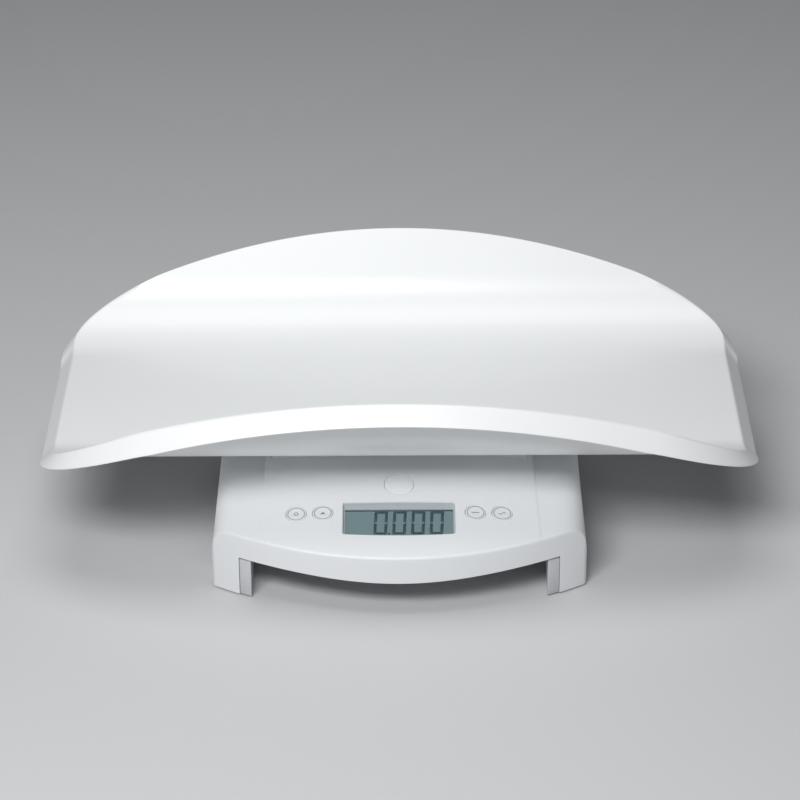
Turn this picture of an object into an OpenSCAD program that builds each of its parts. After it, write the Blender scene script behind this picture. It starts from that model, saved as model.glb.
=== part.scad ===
// Digital baby weighing scale: a trough-shaped tray that lifts off a four-legged electronic base.
// X runs along the tray, -Y is the user's side with the display, Z is up and the floor is Z = 0.

/* [Weighing tray] */
// Overall length of the tray, along X
tray_length = 552; // [500:1:600]
// Overall depth of the tray at its middle, along Y
tray_depth = 332; // [320:1:350]
// How much further the long edges bow out at the middle than at the ends
tray_bow = 30; // [15:1:40]
// Half width of the tray's flat floor
tray_flat_half = 71; // [62:1:76]
// Radius of the bend from the floor into the long walls
tray_bend_r = 72; // [55:1:76]
// Slope of the long walls
tray_slope = 63.3; // [55:0.1:65]
// Length of the rounded corners, along X
tray_corner_x = 75.6; // [50:0.1:90]
// Depth of the rounded corners, along Y
tray_corner_y = 29; // [20:1:40]
// Fullness of the rounded corners: 2 is a quarter of an ellipse, and more is squarer
tray_corner_power = 2.48; // [2:0.01:3]
// Thickness of the tray
tray_wall = 3; // [2.4:0.1:3.6]
// How far the turned-down lip stands out from the fold
lip_out = 12.6; // [10:0.1:15]
// How far the lip drops below the fold
lip_drop = 13.3; // [9:0.1:15]
// How much longer the corners get along X with each millimetre that the lip stands out
lip_spread_x = 1.4; // [1:0.1:1.8]
// How much deeper the corners get along Y with each millimetre that the lip stands out
lip_spread_y = 2.5; // [1:0.1:2.6]

/* [Tray bracket] */
// Length of the bracket under the tray, along X
bracket_length = 188; // [170:1:192]
// Depth of the bracket, along Y
bracket_depth = 96; // [90:1:98]
// Height of the bracket
bracket_height = 17; // [14:0.5:22]
// Wall of the bracket
bracket_wall = 2.5; // [2:0.1:3]
// Thickness of the bracket's plate
bracket_plate = 4; // [3.4:0.1:5]
// Diameter of the four locating pegs
peg_d = 10; // [8:0.5:12]
// Length of the pegs below the plate
peg_length = 11; // [8:0.5:13]
// Distance between the pegs, along X
peg_pitch_x = 120; // [100:1:140]
// Distance between the pegs, along Y
peg_pitch_y = 56; // [50:1:64]
// Distance between the tray's screw bosses, along X
boss_pitch_x = 156; // [140:1:164]
// Distance between the tray's screw bosses, along Y
boss_pitch_y = 70; // [56:1:74]
// Diameter of the tray's screw bosses
boss_d = 9; // [8:0.1:10]
// Width of the tongue that the latch holds
tongue_width = 20; // [18:1:20]
// Thickness of the tongue
tongue_thick = 3; // [2.4:0.1:3.6]

/* [Base shell] */
// Width of the base, along X
base_width = 289; // [284:0.2:300]
// Depth of the base from the crest of its front to the crest of its back
base_depth = 322.2; // [318:0.2:332]
// Radius of the bowed front and back, seen from above
base_arc_r = 251.5; // [240:0.5:280]
// Radius of the four upright corners
base_corner_r = 6; // [5:0.5:9]
// Thickness of the housing walls
base_wall = 2.8; // [2.4:0.1:3.2]
// Height of the console's front edge
console_z = 51.2; // [49:0.1:56]
// Slope of the console towards the user
console_tilt = 14.7; // [13.8:0.1:15.6]
// Radius of the slight crown across the base
crown_r = 1300; // [1100:10:1800]
// Width of the soft shoulders along both sides
shoulder_w = 26; // [20:0.5:29]
// Height of the soft shoulders
shoulder_h = 26; // [20:0.5:28]
// Height above which the sides lean inwards
side_lean_z = 31; // [28:0.5:36]
// Lean of the sides above that height
side_lean = 7; // [4:0.5:8]
// Height of the deck beside the saddle, on the centre line
deck_z = 74.3; // [73:0.1:77]
// Width of the raised saddle under the tray
saddle_width = 208; // [204:1:214]
// Height of the platform that the bracket sits on
platform_z = 84; // [83:0.5:88]
// Length of the platform, along X
platform_length = 196; // [194:1:200]
// Depth of the platform, along Y
platform_depth = 100; // [98:1:106]
// Height of the apron's lower edge at the centre of the front
apron_z = 29.5; // [28.5:0.1:31]
// How much the apron's lower edge rises from the centre to the legs
apron_rise = 4.5; // [2:0.1:5]
// Width of each leg's skin, along X
leg_width = 21.5; // [20:0.1:23]
// Distance of the legs' inner edges from the crest of the front or back
leg_depth = 81.1; // [77:0.1:85]
// Height of the side arches
side_arch_z = 31; // [28:0.5:31.4]
// Gap between the housing skirt and the floor
skirt_gap = 1.5; // [1:0.1:2]

/* [Lower housing] */
// Height of the underside of the bottom plate
plate_z = 32; // [31.6:0.1:33]
// Thickness of the bottom plate
plate_t = 2.5; // [2:0.1:3]
// How far the foot wells stand out from the legs' skin, along X
well_step_x = 9.2; // [8.7:0.1:11]
// How far the foot wells stand out from the legs' skin, along Y
well_step_y = 8; // [5:0.5:11]
// How far the wells' front face lies behind the legs' skin
well_inset = 1.2; // [0.8:0.1:2.4]
// Wall of the foot wells and of the battery bay
well_wall = 2; // [1.6:0.1:2.2]

/* [Load cells and feet] */
// Distance of the feet from the sides of the base
foot_inset = 16.75; // [16.6:0.05:16.9]
// Distance of the feet from the crest of the front or back
foot_set_back = 61.1; // [59:0.1:63]
// Diameter of the foot carriers
carrier_d = 17; // [15:0.5:17.5]
// Diameter of the rubber feet
foot_d = 13.5; // [11:0.5:14]
// Thickness of the rubber feet
foot_t = 3.5; // [3:0.1:4]
// Length of a load cell
cell_length = 36; // [32:1:38]
// Width of a load cell
cell_width = 14; // [12:0.5:16]
// Thickness of a load cell
cell_t = 6; // [5:0.5:7]
// Height of the underside of the load cells
cell_z = 14; // [13:0.5:15]

/* [Display and keys] */
// Width of the display window
window_width = 86; // [80:1:88]
// Height of the display window along the console, at its middle
window_height = 36; // [34:0.5:37]
// Distance of the window's upper edge from the console's front edge
window_top_s = 61.3; // [58:0.1:62]
// How far the window's lower edge bows towards the user
window_bow = 2.4; // [0:0.1:4]
// Diameter of the keys
key_d = 15.5; // [14:0.1:16]
// Distance of the keys below the window's upper edge
key_drop = 10.3; // [9.5:0.1:16]
// Distance of the inner keys from the window's sides
key_gap_x = 15.5; // [14.5:0.1:17]
// Distance between the two keys of a pair
key_pitch = 20.4; // [19.5:0.1:23]
// Travel of the keys
key_travel = 0.5; // [0.3:0.05:0.6]
// Depth of the circuit board below the console's face
board_depth = 12; // [11.5:0.1:13]
// Thickness of the circuit board
board_t = 1.6; // [1.2:0.1:2]

/* [Tray release] */
// Diameter of the round release button
release_d = 22.5; // [20:0.5:23]
// Distance of the release button above the window's upper edge
release_rise = 19.5; // [19:0.1:22]
// Travel of the release button
release_travel = 3.5; // [3:0.1:3.5]
// Width of the latch slide
latch_width = 24; // [22:1:24]
// Thickness of the latch slide
latch_t = 4; // [3.5:0.1:4]
// Clear height between the button's stem and the latch
latch_drop = 4.8; // [4.5:0.1:5.2]

/* [Batteries] */
// Diameter of a battery
battery_d = 14.5; // [14:0.1:15]
// Length of a battery without its nub
battery_length = 49.5; // [48:0.1:50]
// Centre of the battery bay, along Y
bay_y = 26; // [24:1:32]
// Thickness of the battery door
door_t = 2.5; // [2:0.1:2.8]

/* [Fits] */
// Gap round the keys and the release button
button_gap = 0.3; // [0.2:0.05:0.4]
// Gap between the two housings
shell_gap = 0.4; // [0.3:0.05:0.5]
// Gap between the bracket and what it drops into
seat_gap = 0.3; // [0.25:0.05:0.4]
// Diameter of the screws
screw_d = 3; // [2.6:0.1:3.2]

/* [Hidden] */

$fn = 48;
far = 400;               // reach of cutting blocks, past every piece
tiny = 0.01;             // overlap that keeps cuts and unions clean

// Places that the base's shape gives
front_y = base_depth / 2;
arc_y = base_arc_r - front_y;
half_w = base_width / 2;
leg_x = half_w - leg_width;
leg_y = front_y - leg_depth;
foot_x = half_w - foot_inset;
foot_y = front_y - foot_set_back;
arc_steps = 16;          // steps along half of the bowed front
bend_steps = 5;          // steps round an upright corner

// Frame of the console: x across, s up the slope from the front edge, n out of its face
function console_y(s, n) = -front_y + s * cos(console_tilt) - n * sin(console_tilt);
function console_h(s, n) = console_z + s * sin(console_tilt) + n * cos(console_tilt);
function crown(x) = x * x / (2 * crown_r);

// Heights of the tray's stack
bracket_z = platform_z + seat_gap;
floor_under_z = bracket_z + bracket_height;
floor_z = floor_under_z + tray_wall;

// Plan of the tray at its fold
fold_x = tray_length / 2 - lip_out;
fold_y = tray_depth / 2 - lip_out;
bow_r = fold_x * fold_x / (2 * tray_bow);

// Places on the console, from the window outwards
key_s = window_top_s - key_drop;
key_inner_x = window_width / 2 + key_gap_x;
key_outer_x = key_inner_x + key_pitch;
release_s = window_top_s + release_rise;

// Release mechanism: the button presses along the console's normal, the latch slides along Y
// Latch travel per button travel, with a 45 degree wedge
wedge_rate = cos(console_tilt) - sin(console_tilt);
latch_travel = release_travel * wedge_rate;
wedge_half = 2.6;
wedge_depth = 5.4;
wedge_h = 8;
stem_low = 9.2;                                        // depth of the button's stem
latch_top = console_h(release_s, -stem_low) - latch_drop;
latch_z = latch_top - latch_t;
wedge_back_y = console_y(release_s, -12.2) + 2.5;
wedge_tip_z = latch_top - 1.5;
wedge_gap = 0.4;
tongue_y = -platform_depth / 2 + 4.5;                  // front face of the tongue
nose_y = tongue_y - seat_gap;                          // the nose waits just in front of the tongue
latch_front_y = console_y(release_s, 0) - 7.1;
latch_back_y = tongue_y - 1.3;
nose_half = 6;
rail_x = latch_width / 2 + 0.4;
rail_t = 2;
rib_y = latch_front_y - 7;                             // wall that the latch's spring leans on
rib_t = 1.5;

// Bottom plate, wells and battery bay
plate_top = plate_z + plate_t;
rim_h = 4;               // how far the bottom plate's rim reaches up inside the housing
function lean_in(z) = max(0, z - side_lean_z) * tan(side_lean);
lower_inset = base_wall + shell_gap + lean_in(plate_top);
rim_inset = base_wall + 2 * shell_gap + lean_in(plate_top + rim_h);
well_x = leg_x - well_step_x;
well_y = leg_y - well_step_y;
well_floor_z = skirt_gap;
well_floor_t = 2;
bay_pitch = battery_d + 0.2;
bay_half_x = 2 * bay_pitch + 0.6;
bay_half_y = battery_length / 2 + 4.3;
bay_roof_z = plate_top + battery_d + 1.2;
battery_z = plate_top + 0.3 + battery_d / 2;
door_half_x = bay_half_x + well_wall + 0.6;
door_half_y = bay_half_y + well_wall + 0.6;
door_gap = 0.2;          // gap over and under the door
door_z = plate_z - door_t - door_gap;
rail_gap = 0.3;          // gap beside the door
rail_lip = 1.5;          // how far the rails reach under the door
rail_low = door_z - door_gap - 1.5;
clamp_depth = 14;        // depth of the block that each load cell is clamped to
cell_inner_y = -well_y - well_wall - 0.5;
cell_screw_y = -well_y - clamp_depth / 2 - 1;
side_post_x = half_w - 42.2;
front_post_x = window_width / 2 + 13;
// One quarter of the screw posts
post_places = [[side_post_x, front_y - 73.1], [side_post_x, 0], [front_post_x, front_y - 17.6]];
thread = 0.4;            // how much wider a screw is than its pilot bore
board_grip = 4.5;        // how far the board screws reach into their posts
housing_grip = 10;       // how far the housing screws reach into their posts
cell_grip = 8;           // how far the load cells' screws reach past them
post_d = 8;
head_d = 2 * screw_d;
head_t = 2;

// Stack under the display window, as depths below the console's face
lens_sink = 0.3;
lens_t = 2;
lens_ledge = 0.7;
well_depth = 4.2;
bezel_t = 1;
bezel_margin = 1.8;      // how far the bezel reaches past the window, clear of the spring's wall
lcd_depth = well_depth + bezel_t;
lcd_t = 2.8;
lcd_half = window_width / 2 + 2;
lcd_low_s = window_top_s - window_height - 2;
lcd_high_s = window_top_s - 2;
strip_w = 2;
board_half = key_outer_x + 19.1;
board_low_s = lcd_low_s + 0.5;
board_gap = 0.6;         // gap between the board's upper edge and the wall behind the latch's spring
board_high_s = (rib_y - rib_t - board_gap + front_y - (board_depth + board_t) * sin(console_tilt))
    / cos(console_tilt);
board_screw_x = board_half - 5;
board_screw_s = [board_low_s + 5.5, board_high_s - 5.5];
switch_top = 8.5;        // depth of the switches' tops below the console's face
switch_t = board_depth - switch_top;
switch_half = 3;
plunger_d = 3.4;
// Chips under the board: place along X and up the board, then length, width and height
chips = [[-8, 11.5, 14, 14, 1.6], [24, 13.5, 10, 6, 1.4], [-70, 7.5, 16, 6, 6], [52, 7.5, 16, 6, 6]];
plunger_rise = 1.5;
key_cap_t = 2.4;
key_lift = 0.25;
key_flange_t = 0.8;
key_places = [-key_outer_x, -key_inner_x, key_inner_x, key_outer_x];
corners = [[-1, -1], [1, -1], [-1, 1], [1, 1]];        // front left, front right, back left, back right

// ---- Small helpers -------------------------------------------------------------------------------

// Places children in the console's own frame
module on_console() {
    translate([0, -front_y, console_z]) rotate([console_tilt, 0, 0]) children();
}

// A block between two corners
module block(low, high) {
    translate(low) cube(high - low);
}

// A rectangle with round corners, given by its half sizes
module round_rect(half_x, half_y, r) {
    square([2 * half_x - 2 * r, 2 * half_y], center = true);
    square([2 * half_x, 2 * half_y - 2 * r], center = true);
    for (sx = [-1, 1], sy = [-1, 1]) translate([sx * (half_x - r), sy * (half_y - r)]) circle(r = r);
}

// A ring between two diameters
module ring(outer_d, inner_d, h) {
    difference() {
        cylinder(d = outer_d, h = h);
        translate([0, 0, -1]) cylinder(d = inner_d, h = h + 2);
    }
}

// A pan-head screw whose head's underside is at z = 0 and whose shank points up
module screw(shank) {
    translate([0, 0, -head_t]) cylinder(d = head_d, h = head_t);
    translate([0, 0, -tiny]) cylinder(d = screw_d, h = shank + tiny);
}

// ---- Tray ----------------------------------------------------------------------------------------

side_steps = 10;         // steps along the middle of a long edge
corner_steps = 7;        // steps round a corner
wall_steps = 9;          // steps up a long wall
cols = side_steps + 2 * corner_steps;
rows = 2 * wall_steps + 1;

// Angle round the corner at column i: 0 along the middle, 90 at the tray's end
function corner_angle(i) =
    i < corner_steps ? 90 * (1 - i / corner_steps) :
    i > cols - corner_steps ? 90 * (1 - (cols - i) / corner_steps) : 0;

// A corner is a quarter of a superellipse, which spreads as the lip stands out by g
function full(share) = pow(share, 2 / tray_corner_power);
function corner_length(g) = tray_corner_x + lip_spread_x * g;
function corner_depth(g) = tray_corner_y + lip_spread_y * g;

// Place of column i along X, on the outline grown by g
function col_x(i, g) =
    let (r = corner_length(g), straight = fold_x + g - r, reach = straight + r * full(sin(corner_angle(i))))
    i < corner_steps ? -reach : i > cols - corner_steps ? reach :
    -straight + 2 * straight * (i - corner_steps) / side_steps;

// Half depth of the outline at column i, grown by g
function edge_y(i, g) =
    fold_y + g - pow(col_x(i, g), 2) / (2 * bow_r) - corner_depth(g) * (1 - full(cos(corner_angle(i))));

// Place of row j along Y at column i: the flat floor is one step, each wall takes wall_steps
function row_y(i, j, g) =
    let (k = j <= wall_steps ? wall_steps - j : j - wall_steps - 1, side = j <= wall_steps ? -1 : 1,
        edge = edge_y(i, g), flat = min(tray_flat_half, edge - 1))
    side * (flat + (edge - flat) * k / wall_steps);

// Height of the trough above its floor: flat, then a bend, then a straight wall
function trough(y, r) =
    let (d = max(0, abs(y) - tray_flat_half), bend = r * sin(tray_slope))
    d <= bend ? r - sqrt(r * r - d * d) : r * (1 - cos(tray_slope)) + (d - bend) * tan(tray_slope);

// The lip's section from the fold outwards and back, as pairs of out and down
fold_round = 3;
lip_run = lip_out - fold_round;
lip_fall = lip_drop - fold_round * 0.4;
lip_thick = tray_wall * sqrt(lip_run * lip_run + lip_fall * lip_fall) / lip_fall;
lip_in = 1.2;
lip_section = [
    [fold_round * 0.45, fold_round * 0.06], [fold_round, fold_round * 0.4],
    [fold_round + lip_run * 0.28, fold_round * 0.4 + lip_fall * 0.24],
    [fold_round + lip_run * 0.66, fold_round * 0.4 + lip_fall * 0.61],
    [lip_out - 0.25, lip_drop - 0.7], [lip_out, lip_drop], [lip_out - lip_thick, lip_drop]
];

// The boundary of the grid as pairs of column and row, once round anticlockwise
rim = concat(
    [for (i = [0 : cols - 1]) [i, 0]], [for (j = [0 : rows - 1]) [cols, j]],
    [for (i = [cols : -1 : 1]) [i, rows]], [for (j = [rows : -1 : 1]) [0, j]]
);
rim_count = len(rim);
grid_count = (cols + 1) * (rows + 1);

function top_point(i, j) = [col_x(i, 0), row_y(i, j, 0), floor_z + trough(row_y(i, j, 0), tray_bend_r)];
function under_point(i, j) =
    let (y = row_y(i, j, lip_in))
    [col_x(i, lip_in), y, floor_under_z + trough(y, tray_bend_r + tray_wall)];
function lip_point(p, step) =
    [col_x(p[0], step[0]), row_y(p[0], p[1], step[0]), top_point(p[0], p[1])[2] - step[1]];

tray_points = concat(
    [for (i = [0 : cols], j = [0 : rows]) top_point(i, j)],
    [for (i = [0 : cols], j = [0 : rows]) under_point(i, j)],
    [for (step = lip_section, p = rim) lip_point(p, step)]
);

// Index of a grid point on the top or underside, and of a point on ring k of the lip
function top_at(p) = p[0] * (rows + 1) + p[1];
function under_at(p) = grid_count + top_at(p);
function lip_at(k, b) =
    k < 0 ? top_at(rim[b % rim_count]) :
    k >= len(lip_section) ? under_at(rim[b % rim_count]) :
    2 * grid_count + k * rim_count + b % rim_count;

tray_faces = concat(
    [for (i = [0 : cols - 1], j = [0 : rows - 1])
        [top_at([i, j]), top_at([i, j + 1]), top_at([i + 1, j + 1])]],
    [for (i = [0 : cols - 1], j = [0 : rows - 1])
        [top_at([i, j]), top_at([i + 1, j + 1]), top_at([i + 1, j])]],
    [for (i = [0 : cols - 1], j = [0 : rows - 1])
        [under_at([i, j]), under_at([i + 1, j + 1]), under_at([i, j + 1])]],
    [for (i = [0 : cols - 1], j = [0 : rows - 1])
        [under_at([i, j]), under_at([i + 1, j]), under_at([i + 1, j + 1])]],
    [for (k = [-1 : len(lip_section) - 1], b = [0 : rim_count - 1])
        [lip_at(k, b), lip_at(k, b + 1), lip_at(k + 1, b + 1)]],
    [for (k = [-1 : len(lip_section) - 1], b = [0 : rim_count - 1])
        [lip_at(k, b), lip_at(k + 1, b + 1), lip_at(k + 1, b)]]
);

// Places children at the four screw bosses between tray and bracket
module at_bosses() {
    for (sx = [-1, 1], sy = [-1, 1]) translate([sx * boss_pitch_x / 2, sy * boss_pitch_y / 2, 0]) children();
}

// Places children at the four pegs
module at_pegs() {
    for (sx = [-1, 1], sy = [-1, 1]) translate([sx * peg_pitch_x / 2, sy * peg_pitch_y / 2, 0]) children();
}

boss_low_z = bracket_z + bracket_plate;
boss_pilot = 8;

module weighing_tray() {
    color("white") difference() {
        union() {
            polyhedron(points = tray_points, faces = tray_faces, convexity = 4);
            at_bosses() translate([0, 0, boss_low_z])
                cylinder(d = boss_d, h = floor_under_z - boss_low_z + 1);
        }
        at_bosses() translate([0, 0, boss_low_z - 1]) cylinder(d = screw_d - thread, h = boss_pilot + 1);
    }
}

// Bracket under the tray: a shallow tub with pegs that drop into the base and a tongue for the latch
module tray_bracket() {
    tongue_low = latch_z - 6;
    color("white") difference() {
        union() {
            translate([0, 0, bracket_z]) linear_extrude(bracket_height)
                round_rect(bracket_length / 2, bracket_depth / 2, 8);
            at_pegs() translate([0, 0, bracket_z - peg_length]) cylinder(d = peg_d, h = peg_length + 1);
            block([-tongue_width / 2, tongue_y, tongue_low],
                [tongue_width / 2, tongue_y + tongue_thick, bracket_z + 1]);
        }
        translate([0, 0, bracket_z + bracket_plate]) linear_extrude(bracket_height)
            round_rect(bracket_length / 2 - bracket_wall, bracket_depth / 2 - bracket_wall, 8 - bracket_wall);
        at_bosses() translate([0, 0, bracket_z - 1]) cylinder(d = screw_d + 0.5, h = bracket_plate + 2);
        at_bosses() translate([0, 0, bracket_z - 1]) cylinder(d = head_d + 0.6, h = 1 + head_t + 0.2);
        block([-nose_half - 1, tongue_y - 1, latch_z - 0.5],
            [nose_half + 1, tongue_y + tongue_thick + 1, latch_top + 0.5]);
    }
}

module tray_screws() {
    color("silver") at_bosses() translate([0, 0, bracket_z + head_t + 0.2]) screw(boss_pilot);
}

// ---- Base shells ---------------------------------------------------------------------------------

// One quarter of the base's plan, from the crest of the front to the side, set in by i
function plan_quarter(i) =
    let (
        w = half_w - i, r = max(base_corner_r - i, 0.8), big = base_arc_r - i,
        mid_y = arc_y - sqrt(pow(big - r, 2) - pow(w - r, 2)),
        swing = asin((w - r) / (big - r))
    )
    concat(
        [for (k = [0 : arc_steps]) let (t = swing * k / arc_steps) [big * sin(t), arc_y - big * cos(t)]],
        [for (k = [1 : bend_steps]) let (t = swing + (90 - swing) * k / bend_steps)
            [w - r + r * sin(t), mid_y - r * cos(t)]]
    );

function plan_outline(i) =
    let (q = plan_quarter(i), last = len(q) - 1)
    concat(
        q, [for (k = [last : -1 : 0]) [q[k][0], -q[k][1]]],
        [for (k = [1 : last]) [-q[k][0], -q[k][1]]], [for (k = [last : -1 : 1]) [-q[k][0], q[k][1]]]
    );

// Section across the base: a crowned top, soft shoulders and upright sides, set in by i
shoulder_steps = 8;
crown_steps = 8;
function roof_side(i) =
    let (w = half_w - i, a = shoulder_w - i, b = shoulder_h - i)
    concat([[w, -far]], [for (k = [shoulder_steps : -1 : 0])
        let (t = 90 * k / shoulder_steps, x = w - a + a * pow(sin(t), 2 / 3))
        [x, -i - crown(x) - b * (1 - pow(cos(t), 2 / 3))]]);
function roof_section(i) =
    let (side = roof_side(i), n = len(side) - 1, xs = side[n][0])
    concat(
        side, [for (k = [1 : crown_steps - 1]) let (x = xs * (1 - 2 * k / crown_steps)) [x, -i - crown(x)]],
        [for (k = [n : -1 : 0]) [-side[k][0], side[k][1]]]
    );

module roof(i) {
    rotate([90, 0, 0]) linear_extrude(2 * far, center = true) polygon(roof_section(i));
}

// Upright sides that lean inwards above a height, set in by i
module leaning_sides(i) {
    w = half_w - i;
    rotate([90, 0, 0]) linear_extrude(2 * far, center = true) polygon([
        [w, -far], [w, side_lean_z], [w - lean_in(platform_z), platform_z],
        [lean_in(platform_z) - w, platform_z], [-w, side_lean_z], [-w, -far]
    ]);
}

// The base's whole outer form, set in by i and reaching down to z = low
module base_form(i, low) {
    intersection() {
        translate([0, 0, low]) linear_extrude(platform_z) polygon(plan_outline(i));
        leaning_sides(i);
        on_console() roof(i);
        mirror([0, 1, 0]) on_console() roof(i);
        union() {
            translate([0, 0, deck_z]) roof(i);
            block([-saddle_width / 2 + i, -front_y, -far], [saddle_width / 2 - i, front_y, platform_z - i]);
        }
    }
    translate([0, 0, low]) linear_extrude(platform_z - i - low)
        round_rect(platform_length / 2 - i, platform_depth / 2 - i, 8 - i);
}

// Window opening, as a 2D shape on the console, set in by i: a straight top and a bowed lower edge
function window_outline(i) =
    let (w = window_width / 2 - i, top = window_top_s - i, low = window_top_s - window_height + i)
    concat([[w, top], [-w, top]],
        [for (k = [0 : 10]) let (x = w * (k / 5 - 1)) [x, low + window_bow * pow(x / w, 2)]]);

// Screw posts that hang from the roof down to the bottom plate
module at_posts() {
    for (p = post_places, sx = [-1, 1], sy = p[1] == 0 ? [1] : [-1, 1])
        translate([sx * p[0], sy * p[1], 0]) children();
}

module at_board_screws() {
    for (sx = [-1, 1], s = board_screw_s) translate([sx * board_screw_x, s, 0]) children();
}

// Posts, rails and collars inside the upper housing, before they are trimmed to its roof
module upper_fittings() {
    at_posts() translate([0, 0, plate_top]) cylinder(d = post_d, h = platform_z);
    on_console() at_board_screws() translate([0, 0, -board_depth]) cylinder(d = 6, h = board_depth);
    on_console() translate([0, 0, -well_depth]) linear_extrude(well_depth) polygon(window_outline(-3));
    at_pegs() translate([0, 0, platform_z - peg_length - 1]) cylinder(d = peg_d + 5, h = peg_length);
    for (side = [-1, 1]) {
        block([side * rail_x - (side < 0 ? rail_t : 0), rib_y, latch_z - 1.8],
            [side * rail_x + (side > 0 ? rail_t : 0), latch_back_y - 4, platform_z]);
        block([side * rail_x - (side < 0 ? tiny : 2.4), rib_y, latch_z - 1.8],
            [side * rail_x + (side > 0 ? tiny : 2.4), latch_back_y - 4, latch_z - 0.3]);
    }
    block([-rail_x - tiny, rib_y - rib_t, latch_z - 1.8], [rail_x + tiny, rib_y, platform_z]);
    on_console() block([-rail_x - tiny, release_s - 7, -11], [rail_x + tiny, release_s + 7, -stem_low]);
}

// Height of the apron's lower edge: lowest in the middle, rising in a soft S to the legs
apron_steps = 12;
function apron_height(x) = apron_z + apron_rise * (1 - cos(180 * x / leg_x)) / 2;

// The opening under the front apron
module apron_cut() {
    translate([0, -leg_y, 0]) rotate([90, 0, 0]) linear_extrude(leg_depth + 20) polygon(concat(
        [[-leg_x, -1], [leg_x, -1]],
        [for (k = [apron_steps : -1 : -apron_steps]) let (x = leg_x * k / apron_steps) [x, apron_height(x)]]
    ));
}

module upper_housing() {
    color("white") difference() {
        union() {
            difference() {
                base_form(0, skirt_gap);
                base_form(base_wall, -1);
            }
            intersection() {
                upper_fittings();
                base_form(base_wall / 2, skirt_gap);
            }
        }
        // arches between the legs
        for (side = [0, 1]) mirror([0, side, 0]) apron_cut();
        block([-far, -leg_y, -1], [far, leg_y, side_arch_z]);
        // window, keys and release button
        on_console() translate([0, 0, -lens_sink - lens_t]) linear_extrude(20) polygon(window_outline(0));
        on_console() translate([0, 0, -20]) linear_extrude(40) polygon(window_outline(lens_ledge));
        for (x = key_places) on_console() translate([x, key_s, -20])
            cylinder(d = key_d + 2 * button_gap, h = 40);
        on_console() translate([0, release_s, -8]) cylinder(d = release_d + 2 * button_gap, h = 30);
        on_console() translate([0, release_s, -20]) cylinder(d = 9.4, h = 20);
        // pegs, tongue and screws
        at_pegs() translate([0, 0, platform_z - far]) cylinder(d = peg_d + 2 * seat_gap, h = 2 * far);
        block([-tongue_width / 2 - 0.5, tongue_y - 0.6, 60],
            [tongue_width / 2 + 0.5, tongue_y + tongue_thick + 0.6, platform_z + 5]);
        at_posts() translate([0, 0, plate_top - 1]) cylinder(d = screw_d - thread, h = housing_grip + 3);
        on_console() at_board_screws() translate([0, 0, -board_depth - 1])
            cylinder(d = screw_d - thread, h = board_grip + 2);
    }
}

// One foot well, for the front right corner, inset from the housing's plan and set in by i
module well_plan(i, inset) {
    intersection() {
        polygon(plan_outline(inset + i));
        translate([well_x + 50 + i, -well_y - 50 - i]) round_rect(50, 50, 8 - i);
    }
}

// The well's front, which shows beside the leg's skin and stands nearly flush with it
module well_front(i) {
    intersection() {
        well_plan(i, well_inset);
        translate([0, -far]) square([leg_x - shell_gap - i, far]);
    }
}

// The well's front ends under the bottom plate and below the apron's edge
well_front_z = min(plate_z, apron_height(well_x) - shell_gap);

module at_corners() {
    for (c = corners) mirror([c[0] < 0 ? 1 : 0, 0, 0]) mirror([0, c[1] > 0 ? 1 : 0, 0]) children();
}

module lower_housing() {
    color("gainsboro") difference() {
        union() {
            translate([0, 0, plate_z]) linear_extrude(plate_t) polygon(plan_outline(lower_inset));
            translate([0, 0, plate_z]) linear_extrude(plate_t + rim_h) difference() {
                polygon(plan_outline(rim_inset));
                polygon(plan_outline(rim_inset + well_wall));
            }
            at_corners() translate([0, 0, well_floor_z])
                linear_extrude(plate_z - well_floor_z + tiny) well_plan(0, lower_inset);
            at_corners() translate([0, 0, well_floor_z])
                linear_extrude(well_front_z - well_floor_z) well_front(0);
            // battery bay and the door's rails
            block([-bay_half_x - well_wall, bay_y - bay_half_y - well_wall, plate_z],
                [bay_half_x + well_wall, bay_y + bay_half_y + well_wall, bay_roof_z + well_wall]);
            for (side = [0, 1]) mirror([side, 0, 0]) {
                block([door_half_x + rail_gap, bay_y - door_half_y, rail_low],
                    [door_half_x + rail_gap + rail_t, bay_y + door_half_y, plate_z + tiny]);
                block([door_half_x - rail_lip, bay_y - door_half_y, rail_low],
                    [door_half_x + rail_gap + tiny, bay_y + door_half_y, door_z - door_gap]);
            }
        }
        // wells, hollow from their floor upwards, with a hole for the foot carrier
        at_corners() difference() {
            translate([0, 0, well_floor_z + well_floor_t]) {
                linear_extrude(plate_top - well_floor_z) well_plan(well_wall, lower_inset);
                linear_extrude(well_front_z - well_floor_z - well_floor_t - tiny) well_front(well_wall);
            }
            block([well_x, -well_y - clamp_depth, cell_z + cell_t], [half_w, -well_y + 1, plate_top - tiny]);
        }
        at_corners() translate([foot_x, -foot_y, -1]) cylinder(d = carrier_d + 0.8, h = 8);
        at_corners() translate([foot_x, cell_screw_y, cell_z])
            cylinder(d = screw_d - thread, h = cell_t + cell_grip + 2);
        // battery bay, open downwards
        block([-bay_half_x, bay_y - bay_half_y, plate_z - 1], [bay_half_x, bay_y + bay_half_y, bay_roof_z]);
        at_posts() translate([0, 0, plate_z - 1]) cylinder(d = screw_d + 0.5, h = plate_t + 2);
    }
}

module housing_screws() {
    color("silver") at_posts() translate([0, 0, plate_z]) screw(plate_t + housing_grip);
}

// ---- Display and keys ----------------------------------------------------------------------------

module display_window() {
    color([0.75, 0.85, 0.85, 0.4]) on_console() translate([0, 0, -lens_sink - lens_t]) linear_extrude(lens_t)
        polygon(window_outline(0.15));
}

module display_bezel() {
    color("lightslategray") on_console() translate([0, 0, -lcd_depth]) linear_extrude(bezel_t) difference() {
        polygon(window_outline(-bezel_margin));
        polygon([for (p = window_outline(1.5)) [p[0], min(p[1], window_top_s - 4)]]);
    }
}

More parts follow.
